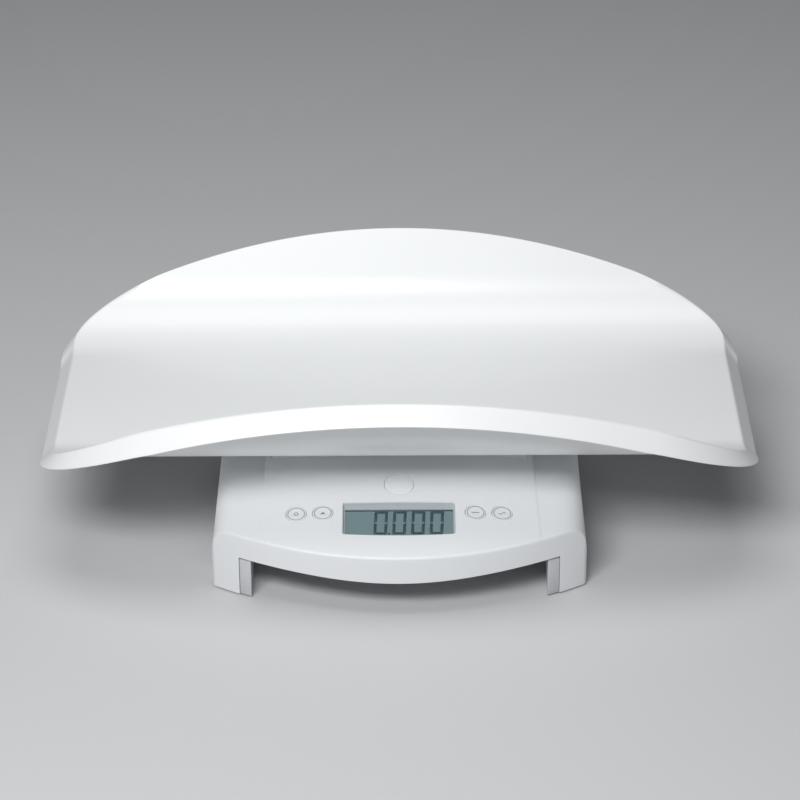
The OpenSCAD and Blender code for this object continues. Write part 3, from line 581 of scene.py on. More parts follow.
@dataclass
class Tray:
    """Long trough that the baby lies in: flat floor, curved long walls and a lip turned down all round."""

    flat_half: float = 71.0
    bend_radius: float = 72.0
    slope: float = 63.3
    bow: float = 30.0
    corner_x: float = 75.6
    corner_y: float = 32.0
    corner_power: float = 2.48
    wall: float = 3.0
    lip_out: float = 12.6
    lip_drop: float = 13.3
    lip_spread: tuple[float, float] = (1.35, 1.5)
    fold_round: float = 3.0
    under_out: float = 1.2
    middle_steps: int = 96
    corner_steps: int = 32
    floor_steps: int = 16
    wall_steps: int = 30
    low: Array = field(init=False)
    high: Array = field(init=False)

    def __post_init__(self) -> None:
        """Takes the overall size from the frame."""
        self.low, self.high = box_of("weighing_tray")
        self.fold_x = self.high[0] - self.lip_out
        self.fold_y = self.high[1] - self.lip_out
        self.floor_z = self.high[2] - float(self.trough(np.array(self.fold_y), self.bend_radius))

    def trough(self, y: Array, radius: float) -> Array:
        """Height above the floor: 0 on the flat, a bend of the radius, then a wall at the slope."""
        slope = math.radians(self.slope)
        beyond = np.maximum(0.0, np.abs(y) - self.flat_half)
        bend = radius * math.sin(slope)
        round_part = radius - np.sqrt(np.maximum(radius ** 2 - np.minimum(beyond, bend) ** 2, 0.0))
        return round_part + np.maximum(beyond - bend, 0.0) * math.tan(slope)

    def columns(self, grow: float) -> tuple[Array, Array]:
        """Stations along X and the half depth at each, on the plan grown outwards.

        The long edges bow as a parabola. Each corner is a quarter of a superellipse, with the sine and
        cosine raised to 2 / power, and it spreads along both axes as the plan grows.
        """
        length = self.corner_x + self.lip_spread[0] * grow
        depth = self.corner_y + self.lip_spread[1] * grow
        straight = self.fold_x + grow - length
        middle = np.linspace(-straight, straight, self.middle_steps + 1)
        angle = np.radians(np.linspace(0.0, 90.0, self.corner_steps + 1)[1:])
        power = 2.0 / self.corner_power
        corner = straight + length * np.sin(angle) ** power
        x = np.concatenate([-corner[::-1], middle, corner])
        inset = 1.0 - np.cos(angle) ** power
        inset = np.concatenate([inset[::-1], np.zeros(len(middle)), inset])
        bow_radius = self.fold_x ** 2 / (2.0 * self.bow)
        return x, self.fold_y + grow - x ** 2 / (2.0 * bow_radius) - depth * inset

    def plan(self, grow: float) -> Array:
        """Grid (columns, rows, 2) of places: even rows on the flat, then shares of each wall."""
        x, half = self.columns(grow)
        flat = np.minimum(self.flat_half, half - 1.0)[:, None]
        floor = flat * np.linspace(-1.0, 1.0, self.floor_steps + 1)
        share = np.linspace(0.0, 1.0, self.wall_steps + 1)[1:]
        outer = flat + (half[:, None] - flat) * share
        y = np.concatenate([-outer[:, ::-1], floor, outer], axis=1)
        return np.stack([np.broadcast_to(x[:, None], y.shape), y], axis=-1)

    @staticmethod
    def rim(grid: Array) -> Array:
        """Edge of a grid (n, m, k) as one closed ring, anticlockwise seen from above."""
        return np.concatenate([grid[:-1, 0], grid[-1, :-1], grid[:0:-1, -1], grid[0, :0:-1]])

    def lip_profile(self) -> list[tuple[float, float]]:
        """Lip's outer face as (out, down): a round fold, a straight slant and a rounded edge."""
        radius = self.fold_round
        angles = np.radians(np.linspace(8.0, 52.0, 7))
        fold = [(radius * 1.15 * math.sin(a), radius * 1.15 * (1.0 - math.cos(a))) for a in angles]
        start = fold[-1]
        end = (self.lip_out - 0.5, self.lip_drop - 1.2)
        slant = [(start[0] + (end[0] - start[0]) * t, start[1] + (end[1] - start[1]) * t)
                 for t in np.linspace(0.0, 1.0, 9)[1:]]
        edge = [(self.lip_out - 0.12, self.lip_drop - 0.7), (self.lip_out, self.lip_drop - 0.35),
                (self.lip_out - 0.12, self.lip_drop - 0.08), (self.lip_out - 0.4, self.lip_drop)]
        return fold + slant + edge

    def inner_profile(self) -> list[tuple[float, float]]:
        """Lip's inner face from its bottom edge back up, parallel to the slant."""
        run = self.lip_out - self.fold_round
        fall = self.lip_drop - self.fold_round * 0.4
        thick = self.wall * math.hypot(run, fall) / fall
        foot = (self.lip_out - thick, self.lip_drop)
        rise = [(foot[0] - run * t * 0.55, foot[1] - fall * t * 0.55) for t in np.linspace(0.0, 1.0, 6)[1:]]
        return [(foot[0] + 0.4, foot[1]), (foot[0] + 0.08, foot[1] - 0.1), (foot[0], foot[1] - 0.5)] + rise

    def mesh(self) -> bpy.types.Mesh:
        """Closed shell: the face, the lip's rings outwards and back, and the underside one wall below."""
        surface = Surface()
        plan = self.plan(0.0)
        top = np.dstack([plan, self.floor_z + self.trough(plan[..., 1], self.bend_radius)])
        under_plan = self.plan(self.under_out)
        under_z = self.floor_z - self.wall + self.trough(under_plan[..., 1], self.bend_radius + self.wall)
        under = np.dstack([under_plan, under_z])
        surface.grid(top)
        surface.grid(under, flip=True)
        fold_z = self.rim(top)[:, 2]
        rings = [self.rim(top)]
        for out, down in self.lip_profile() + self.inner_profile():
            rings.append(np.column_stack([self.rim(self.plan(out)), fold_z - down]))
        rings.append(self.rim(under))
        surface.grid(np.array(rings), closed_v=True)
        return surface.mesh("tray_shell")

    def build(self) -> None:
        """Builds and dresses the tray, its bracket and its screws."""
        shell = new_object("tray_shell", self.mesh())
        shade(shell.data, 60.0)
        dress(shell, Finish.TRAY, "tray", "tray_shell", "weighing_tray")
        dress(softened("tray_bracket", 0.8), Finish.TRAY, "tray", "tray_shell", "tray_bracket")
        Screws("tray_screws", "tray").build()


# ---------------------------------------------------------------------------------------------------
# Screws
# ---------------------------------------------------------------------------------------------------

@dataclass
class Screws:
    """Screws of a CAD node: its solids get plated steel; head() works out a pan head with a cross recess."""

    node: str
    body: str
    head_height: float = 2.0
    recess_half: float = 0.42
    recess_reach: float = 1.7
    recess_depth: float = 1.1
    rings: int = 26
    segments: int = 72

    def head(self, radius: float) -> Array:
        """Head's face over a disc as (rings, segments, 3): a low dome with a cross pressed into it."""
        r = np.linspace(0.0, 1.0, self.rings) ** 0.8 * radius
        turn = np.linspace(0.0, 2.0 * math.pi, self.segments, endpoint=False)
        x, y = r[:, None] * np.cos(turn), r[:, None] * np.sin(turn)
        dome = self.head_height * (1.0 - 0.45 * (r[:, None] / radius) ** 4) * np.ones_like(x)
        arm = np.minimum(np.maximum(np.abs(x) - self.recess_reach, np.abs(y) - self.recess_half),
                         np.maximum(np.abs(y) - self.recess_reach, np.abs(x) - self.recess_half))
        pressed = np.clip(-arm / 0.25, 0.0, 1.0)
        return np.stack([x, y, dome - self.recess_depth * pressed], axis=-1)

    def build(self) -> None:
        """Gives the node's CAD solids the plated steel finish."""
        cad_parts[self.node].data.materials.clear()
        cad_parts[self.node].data.materials.append(Finish.STEEL.material())


# ---------------------------------------------------------------------------------------------------
# Console frame, shared by the housing, display and keys
# ---------------------------------------------------------------------------------------------------

@dataclass
class Console:
    """Sloping face at the front of the base: x across, s up the slope from its front edge, n outwards."""

    front_y: float = 161.1
    edge_z: float = 51.2
    tilt: float = 14.7
    crown_radius: float = 1300.0
    window_width: float = 86.0
    window_top: float = 61.3
    window_height: float = 36.0
    window_bow: float = 2.4
    key_s: float = 51.0
    key_x: tuple[float, ...] = (-78.9, -58.5, 58.5, 78.9)
    release_s: float = 80.8

    def point(self, x: Array, s: Array, n: Array) -> Array:
        """Place (…, 3) in the object's frame of a place on the console."""
        tilt = math.radians(self.tilt)
        x, s, n = np.broadcast_arrays(np.asarray(x, float), np.asarray(s, float), np.asarray(n, float))
        y = -self.front_y + s * math.cos(tilt) - n * math.sin(tilt)
        z = self.edge_z + s * math.sin(tilt) + n * math.cos(tilt)
        return np.stack([x, y, z], axis=-1)

    def crown(self, x: Array) -> Array:
        """How far the crowned face lies below its middle line: x squared over twice the radius."""
        return np.asarray(x, float) ** 2 / (2.0 * self.crown_radius)

    def stand(self, x: float, s: float, lift: float = 0.0) -> Matrix:
        """Matrix that puts a piece made about Z on the face at (x, s), square to the crowned surface."""
        lean = x / self.crown_radius
        origin = self.point(x, s, -self.crown(x) + lift)
        turn = Matrix.Rotation(math.radians(self.tilt), 4, "X") @ Matrix.Rotation(lean, 4, "Y")
        return Matrix.Translation(Vector(origin.tolist())) @ turn

    def window(self, grow: float, corner: float = 1.6, steps: int = 28) -> Array:
        """Window's outline (n, 2) as x and s, anticlockwise: bowed lower edge, straight top, round corners."""
        half = self.window_width / 2.0 + grow
        top = self.window_top + grow
        low = self.window_top - self.window_height - grow
        radius = max(corner + grow, 0.3)
        x = np.linspace(-half + radius, half - radius, steps + 1)
        bottom = np.column_stack([x, low + self.window_bow * ((x / half) ** 2 - 1.0) + self.window_bow])
        rise = self.window_bow
        turn = np.radians(np.linspace(0.0, 90.0, 7))[1:-1]

        def bend(cx: float, cy: float, start: float) -> Array:
            """Quarter of a circle about (cx, cy)."""
            angle = turn + math.radians(start)
            return np.column_stack([cx + radius * np.cos(angle), cy + radius * np.sin(angle)])

        side_low = low + rise + radius
        right = bend(half - radius, side_low, -90.0)
        left = bend(-half + radius, side_low, 180.0)
        side = np.linspace(side_low, top - radius, 9)
        return np.vstack([
            bottom, right, np.column_stack([np.full(9, half), side]), bend(half - radius, top - radius, 0.0),
            np.column_stack([x[::-1], np.full(len(x), top)]), bend(-half + radius, top - radius, 90.0),
            np.column_stack([np.full(9, -half), side[::-1]]), left,
        ])


# ---------------------------------------------------------------------------------------------------
# Base
# ---------------------------------------------------------------------------------------------------

@dataclass
class Base:
    """Lower half of the scale: crowned console, soft shoulders, apron, four legs and what shows below."""

    console: Console
    half_width: float = 144.5
    lean_z: float = 31.0
    lean: float = 7.0
    arc_radius: float = 251.5
    corner_radius: float = 6.0
    edge_radius: float = 2.0
    wall: float = 2.8
    shoulder_w: float = 26.0
    shoulder_h: float = 26.0
    deck_z: float = 74.3
    saddle_half: float = 104.0
    platform_half: tuple[float, float] = (98.0, 50.0)
    platform_z: float = 84.0
    skirt_z: float = 1.5
    apron_z: float = 29.5
    apron_rise: float = 4.5
    apron_reach: float = 81.0
    leg_x: float = 123.0
    leg_y: float = 80.0
    side_arch_z: float = 31.0
    hole_flare: float = 0.45
    key_hole: float = 8.05
    release_hole: float = 11.55

    def drop(self, x: Array) -> Array:
        """How far the roof lies below its middle: the crown, and a superellipse of power 3 at the sides."""
        beyond = np.clip((np.abs(x) - (self.half_width - self.shoulder_w)) / self.shoulder_w, 0.0, 1.0)
        shoulder = self.shoulder_h * (1.0 - np.cbrt(np.maximum(1.0 - beyond ** 3, 0.0)))
        return self.console.crown(x) + shoulder

    def lean_in(self, z: Array) -> Array:
        """How far the sides stand in at a height: nothing up to lean_z, then the lean's slope."""
        return smooth_max(np.zeros_like(z), (z - self.lean_z) * math.tan(math.radians(self.lean)), 0.6)

    def apron(self, x: Array) -> Array:
        """Height of the apron's lower edge: lowest in the middle, rising as half a cosine to the legs."""
        return self.apron_z + self.apron_rise * (1.0 - np.cos(np.pi * np.asarray(x) / self.leg_x)) / 2.0

    def height(self, x: Array, y: Array) -> Array:
        """Top face: two slopes that meet over the middle, cut by the side decks, with the platform on it."""
        tilt = math.radians(self.console.tilt)
        drop = self.drop(x)
        slope = self.console.edge_z + (self.console.front_y - np.abs(y)) * math.tan(tilt) - drop / math.cos(tilt)
        deck = smooth_min(slope, self.deck_z - drop, 3.0)
        saddle_side = self.platform_z - 6.0 * (np.abs(x) - self.saddle_half + 1.0)
        saddle = smooth_min(smooth_min(slope, np.full_like(slope, self.platform_z), 2.0), saddle_side, 2.0)
        reach = np.maximum(np.abs(x) - self.platform_half[0], np.abs(y) - self.platform_half[1])
        platform = smooth_min(np.full_like(slope, self.platform_z), self.platform_z - 6.0 * (reach + 1.0) + 6.0, 1.5)
        return smooth_max(smooth_max(deck, saddle, 1.5), platform, 1.5)

    def front_edge(self) -> tuple[Array, Array, Array]:
        """Front half of the plan from left to right: places, outward normals and edge radii.

        The front is an arc of the large radius, each corner an arc of the small one, and the sides are
        straight. The rounding of the top edge fades out round the corners.
        """
        big, small, half = self.arc_radius, self.corner_radius, self.half_width
        centre_y = big - self.console.front_y
        swing = math.asin((half - small) / (big - small))
        stops = np.unique(np.concatenate([
            np.linspace(0.0, 94.0, 30), np.linspace(94.0, 110.0, 23), np.linspace(110.0, half - self.shoulder_w, 6),
            half - self.shoulder_w + np.linspace(0.0, big * math.sin(swing) - half + self.shoulder_w, 20),
        ]).round(6))
        angle = np.arcsin(stops / big)
        arc = np.column_stack([big * np.sin(angle), centre_y - big * np.cos(angle)])
        arc_out = np.column_stack([np.sin(angle), -np.cos(angle)])
        turn = np.linspace(swing, math.pi / 2.0, 17)[1:]
        corner_y = centre_y - math.sqrt((big - small) ** 2 - (half - small) ** 2)
        corner_out = np.column_stack([np.sin(turn), -np.cos(turn)])
        corner = np.array([half - small, corner_y]) + small * corner_out
        fade = np.cos((turn - swing) / (math.pi / 2.0 - swing) * math.pi / 2.0) ** 2
        right = np.vstack([arc, corner])
        out = np.vstack([arc_out, corner_out])
        radius = np.concatenate([np.full(len(arc), self.edge_radius), 0.02 + (self.edge_radius - 0.02) * fade])
        mirror = np.array([-1.0, 1.0])
        return (np.vstack([right[:0:-1] * mirror, right]), np.vstack([out[:0:-1] * mirror, out]),
                np.concatenate([radius[:0:-1], radius]))

    def skin(self) -> Surface:
        """Outer skin, open below: the roof as a grid, the rounded top edge and the upright walls as rings."""
        edge, out, radius = self.front_edge()
        start = edge - out * radius[:, None]
        reach = -start[:, 1]
        inner = np.unique(np.concatenate([
            np.linspace(0.0, 44.0, 9), np.linspace(44.0, 56.0, 17), np.linspace(56.0, 74.0, 7),
            np.linspace(74.0, 86.0, 15), np.linspace(86.0, 98.0, 6),
        ]))
        share = np.linspace(0.0, 1.0, 24)[1:]
        outer = 98.0 + (reach[:, None] - 98.0) * share
        half = np.hstack([np.broadcast_to(inner, (len(start), len(inner))), outer])
        y = np.hstack([-half[:, :0:-1], half])
        x = np.broadcast_to(start[:, :1], y.shape)
        roof = np.dstack([x, y, self.height(x, y)])
        # ring of the same grid on the full plan, with its normals and edge radii
        sides = y.shape[1]
        plan = np.empty(x.shape + (2,))
        plan[..., 0], plan[..., 1] = x, y
        normal = np.zeros_like(plan)
        rounding = np.full(x.shape, 0.02)
        for row, flip in ((0, 1.0), (sides - 1, -1.0)):
            plan[:, row] = edge * [1.0, flip]
            normal[:, row] = out * [1.0, flip]
            rounding[:, row] = radius
        plan[0, :, 0], plan[-1, :, 0] = -self.half_width, self.half_width
        normal[0, 1:-1], normal[-1, 1:-1] = [-1.0, 0.0], [1.0, 0.0]
        ring_roof, ring_plan = Tray.rim(roof), Tray.rim(plan)
        ring_round = Tray.rim(rounding[..., None])[:, 0]
        corner_z = self.height(ring_plan[:, 0], ring_plan[:, 1])
        corner = np.column_stack([ring_plan, corner_z])
        below = np.column_stack([ring_plan, corner_z - ring_round])
        rings = []
        for t in np.linspace(0.0, 1.0, 9):
            rings.append((1 - t) ** 2 * ring_roof + 2 * t * (1 - t) * corner + t ** 2 * below)
        for t in np.linspace(0.0, 1.0, 13)[1:]:
            rings.append(below + np.column_stack([np.zeros((len(below), 2)), (self.skirt_z - below[:, 2]) * t]))
        surface = Surface()
        surface.grid(self.leaned(roof))
        surface.grid(self.leaned(np.array(rings)), closed_v=True)
        return surface

    def leaned(self, points: Array) -> Array:
        """Points with their distance from the middle kept within the leaning sides."""
        limit = self.half_width - self.lean_in(points[..., 2])
        within = np.minimum(np.abs(points[..., 0]), limit)
        return np.stack([np.copysign(within, points[..., 0]), points[..., 1], points[..., 2]], axis=-1)

    def cutters(self) -> Surface:
        """Closed shapes that are taken out of the shell: arches, window, round holes, sockets and slot."""
        surface = Surface()
        for side in (-1.0, 1.0):
            self.cut_apron(surface, side)
        side_way = np.array([(-self.leg_y, -20.0), (self.leg_y, -20.0), (self.leg_y, self.side_arch_z),
                             (-self.leg_y, self.side_arch_z)])
        surface_prism(surface, side_way, -200.0, 200.0)
        self.cut_window(surface)
        flare = self.hole_flare
        for x in self.console.key_x:
            add_turned(surface, self.console.stand(x, self.console.key_s), self.key_hole, flare)
        add_turned(surface, self.console.stand(0.0, self.console.release_s), self.release_hole, flare)
        for px in (-60.0, 60.0):
            for py in (-28.0, 28.0):
                add_turned(surface, Matrix.Translation((px, py, self.platform_z)), 5.3, 0.3)
        slot = np.array([(-46.1, 60.0), (-41.9, 60.0), (-41.9, 90.0), (-46.1, 90.0)])
        surface_prism(surface, slot, -10.5, 10.5)
        return surface

    def cut_apron(self, surface: Surface, side: float) -> None:
        """Adds the opening under the front (-1) or back (1) apron: the edge's curve run along Y."""
        x = np.linspace(-self.leg_x, self.leg_x, 73)
        outline = np.vstack([
            np.column_stack([x, self.apron(x)]), [[self.leg_x, -20.0], [-self.leg_x, -20.0]],
        ])
        outer = side * (self.console.front_y + 20.0)
        inner = side * (self.console.front_y - self.apron_reach)
        ends = [np.column_stack([outline[:, 0], np.full(len(outline), y), outline[:, 1]]) for y in (outer, inner)]
        surface.grid(np.array(ends), closed_v=True)
        surface.fan(ends[0])
        surface.fan(ends[1])

    def cut_window(self, surface: Surface) -> None:
        """Adds the window's cutter: rings that follow the crown, wider at the face to round the edge."""
        rings = []
        for grow, depth in ((0.0, -12.0), (0.0, -self.hole_flare), (0.07, -0.2), (0.2, -0.07),
                            (self.hole_flare, 0.0), (self.hole_flare, 6.0)):
            outline = self.console.window(grow)
            rings.append(self.console.point(outline[:, 0], outline[:, 1], depth - self.console.crown(outline[:, 0])))
        surface.grid(np.array(rings), closed_v=True, flip=True)
        surface.fan(rings[0], flip=True)
        surface.fan(rings[-1])

    def build(self) -> None:
        """Builds and dresses the shells, feet and everything that shows under the base."""
        skin = self.skin()
        raw = new_object("raw_housing", skin.mesh("raw_housing"))
        solid = raw.modifiers.new("wall", "SOLIDIFY")
        solid.thickness = self.wall * MM
        solid.offset = -1.0
        solid.use_even_offset = True
        cutter = new_object("cutter", self.cutters().mesh("cutter"))
        fix_normals(cutter.data)
        cut(raw, cutter)
        shell = settle(raw, "housing_shell")
        bpy.data.objects.remove(cutter)
        dress(shell, Finish.HOUSING, "base", "housing", "upper_housing")
        dress(softened("lower_housing", 0.5), Finish.UNDERSIDE, "base", "base_plate", "lower_housing")
        dress(softened("battery_door", 0.4), Finish.UNDERSIDE, "battery_hatch", "base_plate", "battery_door")
        for corner in ("front_left", "front_right", "back_left", "back_right"):
            self.foot(corner)
        Screws("housing_screws", "base").build()

    def foot(self, corner: str) -> None:
        """Rubber foot with a rounded rim and two grooves, in its carrier."""
        low, high = box_of("rubber_foot_" + corner)
        radius, thick = (high[0] - low[0]) / 2.0, high[2] - low[2]
        rim = 0.9
        profile = [(0.0, thick), (radius - 0.2, thick), (radius, thick - 0.2)]
        profile += rounded((radius - rim, rim), rim, 0.0)
        for groove in (0.66, 0.36):
            r = radius * groove
            profile += [(r + 0.6, 0.0), (r + 0.35, 0.45), (r - 0.35, 0.45), (r - 0.6, 0.0)]
        profile.append((0.0, 0.0))
        data = revolve(profile).mesh("foot_" + corner)
        data.transform(Matrix.Translation(((low[0] + high[0]) / 2 * MM, (low[1] + high[1]) / 2 * MM, low[2] * MM)))
        piece = new_object("foot_pad_" + corner, data)
        fix_normals(piece.data)
        shade(piece.data)
        dress(piece, Finish.RUBBER, "base", "foot_rubber", "rubber_foot_" + corner)
        dress(softened("foot_carrier_" + corner, 0.4), Finish.INNER, "base", "inner_plastic", "foot_carrier_" + corner)


def fix_normals(data: bpy.types.Mesh) -> None:
    """Turns all faces of a closed mesh outwards."""
    import bmesh
    work = bmesh.new()
    work.from_mesh(data)
    bmesh.ops.recalc_face_normals(work, faces=work.faces)
    work.to_mesh(data)
    work.free()


def surface_prism(surface: Surface, outline: Array, low: float, high: float) -> None:
    """Adds a prism along X to a surface.

    Args:
        surface: what it is added to.
        outline: (n, 2) of y and z.
        low: first end along X.
        high: last end along X.
    """
    ends = [np.column_stack([np.full(len(outline), x), outline]) for x in (low, high)]
    twice = np.sum(outline[:, 0] * np.roll(outline[:, 1], -1) - np.roll(outline[:, 0], -1) * outline[:, 1])
    flip = twice < 0
    surface.grid(np.array(ends), closed_v=True, flip=not flip)
    surface.fan(ends[0], flip=not flip)
    surface.fan(ends[1], flip=flip)


def add_turned(surface: Surface, place: Matrix, radius: float, flare: float, segments: int = 96) -> None:
    """Adds a round cutter whose mouth widens by a flare at the face, so that the hole's edge is rounded."""
    steps = np.radians(np.linspace(0.0, 90.0, 6))
    profile = [(radius, -20.0)]
    profile += [(radius + flare * (1.0 - math.cos(a)), -flare * (1.0 - math.sin(a))) for a in steps]
    profile += [(radius + flare, 8.0)]
    r, z = np.array(profile).T
    turn = np.linspace(0.0, 2.0 * math.pi, segments, endpoint=False)
    points = np.stack([r[:, None] * np.cos(turn), r[:, None] * np.sin(turn),
                       np.broadcast_to(z[:, None], (len(r), segments))], axis=-1)
    matrix = np.array(place)
    points = points @ matrix[:3, :3].T + matrix[:3, 3]
    surface.grid(points, closed_v=True, flip=True)
    surface.fan(points[0], flip=True)
    surface.fan(points[-1])


# ---------------------------------------------------------------------------------------------------
# Display and keys
# ---------------------------------------------------------------------------------------------------

@dataclass
class Display:
    """What lies in the window: the clear cover, the bezel and the glass with its four zeros."""

    console: Console
    cover_sink: float = 0.35
    cover_thick: float = 1.9
    glass_depth: float = 5.2
    well_depth: float = 4.15
    well_top: float = 2.2
    well_wall: float = 2.0
    bezel_drop: float = 4.0
    # width of the strip of painted shadow under the bezel's upper bar
    shadow_line_width: float = 1.0
    digit_x: tuple[float, ...] = (-14.1, 0.25, 14.55, 28.8)
    digit_height: float = 24.6
    digit_width: float = 10.4
    digit_low: float = 31.4
    stroke: float = 2.3
    slant: float = 2.2
    ink_thick: float = 0.12
    gap: float = 0.3

    def cover(self) -> None:
        """Clear cover: the window's outline, a little smaller, with a rounded face edge."""
        rings = []
        for grow, depth in ((-0.2, -self.cover_thick), (-0.2, -0.4), (-0.26, -0.16), (-0.42, 0.0)):
            outline = self.console.window(grow)
            drop = self.console.crown(outline[:, 0]) + self.cover_sink
            rings.append(self.console.point(outline[:, 0], outline[:, 1], depth - drop))
        surface = Surface()
        surface.grid(np.array(rings), closed_v=True)
        surface.fan(rings[0])
        surface.fan(rings[-1])
        piece = new_object("window_cover", surface.mesh("window_cover"))
        fix_normals(piece.data)
        shade(piece.data)
        dress(piece, Finish.WINDOW, "base", "clear_window", "display_window")

    def well(self) -> None:
        """Wall of the well round the window, from inside the housing's roof down to the bezel."""
        rings = []
        for grow, depth in ((0.05, -self.well_top), (0.05, -self.well_depth), (self.well_wall, -self.well_depth),
                            (self.well_wall, -self.well_top)):
            outline = self.console.window(grow)
            drop = self.console.crown(outline[:, 0]) if depth == -self.well_top else 0.0
            rings.append(self.console.point(outline[:, 0], outline[:, 1], depth - drop))
        surface = Surface()
        surface.grid(np.array(rings), closed_u=True, closed_v=True)
        piece = new_object("window_well", surface.mesh("window_well"))
        fix_normals(piece.data)
        shade(piece.data)
        dress(piece, Finish.HOUSING, "base", "housing")

    def line(self) -> None:
        """Painted shadow: a dark strip in the digits' ink on the glass, just under the bezel's upper bar, where the
        bar's shade falls.
        """
        surface = Surface()
        half = self.console.window_width / 2.0 - 1.6
        high = self.console.window_top - self.bezel_drop - 0.02
        corners_s = [(-half, high - self.shadow_line_width), (half, high - self.shadow_line_width), (half, high), (-half, high)]
        x, s = np.array(corners_s).T
        low, top = (self.console.point(x, s, -self.glass_depth + lift) for lift in (0.0, self.ink_thick))
        surface.grid(np.array([low, top]), closed_v=True)
        surface.fan(low)
        surface.fan(top)
        # the strip is the painted shadow of the bezel's upper bar, in the digits' dark ink
        piece = new_object("display_painted_shadow", surface.mesh("display_painted_shadow"))
        fix_normals(piece.data)
        dress(piece, Finish.INK, "base", "lcd")

    def segment(self, surface: Surface, points: Sequence[tuple[float, float]], centre: float) -> None:
        """Adds one stroke of a digit: its outline, slanted about the digit's foot, as a thin plate."""
        lean = math.tan(math.radians(self.slant))
        outline = np.array(points)
        x = centre + outline[:, 0] + (outline[:, 1] - self.digit_height / 2.0) * lean
        s = self.digit_low + outline[:, 1]
        low = self.console.point(x, s, -self.glass_depth)
        high = self.console.point(x, s, -self.glass_depth + self.ink_thick)
        surface.grid(np.array([low, high]), closed_v=True)
        surface.fan(low)
        surface.fan(high)

    def digits(self) -> None:
        """Four zeros of six strokes each, with a point after the first."""
        surface = Surface()
        w, h, t, g = self.digit_width / 2.0, self.digit_height, self.stroke, self.gap / 2.0
        for centre in self.digit_x:
            for low, high in ((g, h / 2.0 - g), (h / 2.0 + g, h - g)):
                foot = t if low < h / 4.0 else t / 2.0
                head = t / 2.0 if low < h / 4.0 else t
                for side in (-1.0, 1.0):
                    stroke = [(side * w, low + g), (side * (w - t), low + foot), (side * (w - t), high - head),
                              (side * w, high - g)]
                    self.segment(surface, stroke, centre)
            for level, inwards in ((0.0, 1.0), (h, -1.0)):
                stroke = [(-w + 2 * g, level), (w - 2 * g, level), (w - t - g, level + inwards * t),
                          (-w + t + g, level + inwards * t)]
                self.segment(surface, stroke, centre)
        point_x = (self.digit_x[0] + self.digit_x[1]) / 2.0 - 0.4
        self.segment(surface, [(-0.8, 0.0), (0.8, 0.0), (0.8, 1.6), (-0.8, 1.6)], point_x)
        piece = new_object("display_digits", surface.mesh("display_digits"))
        fix_normals(piece.data)
        dress(piece, Finish.INK, "base", "lcd")

    def build(self) -> None:
        """Builds the cover and digits, and dresses the CAD pieces behind them."""
        self.cover()
        self.well()
        # painted shadow under the bezel's upper bar
        self.line()
        self.digits()
        for node, finish in (("display_bezel", Finish.BEZEL), ("lcd_glass", Finish.LCD),
                             ("lcd_light_guide", Finish.GUIDE), ("lcd_contact_strips", Finish.STRIPE)):
            repaint(node, finish)


class Glyph(Enum):
    """Plain signs on the keys, each as closed outlines in the cap's own plane."""

    RING = "ring"
    PEAK = "peak"
    DASH = "dash"
    WAVE = "wave"


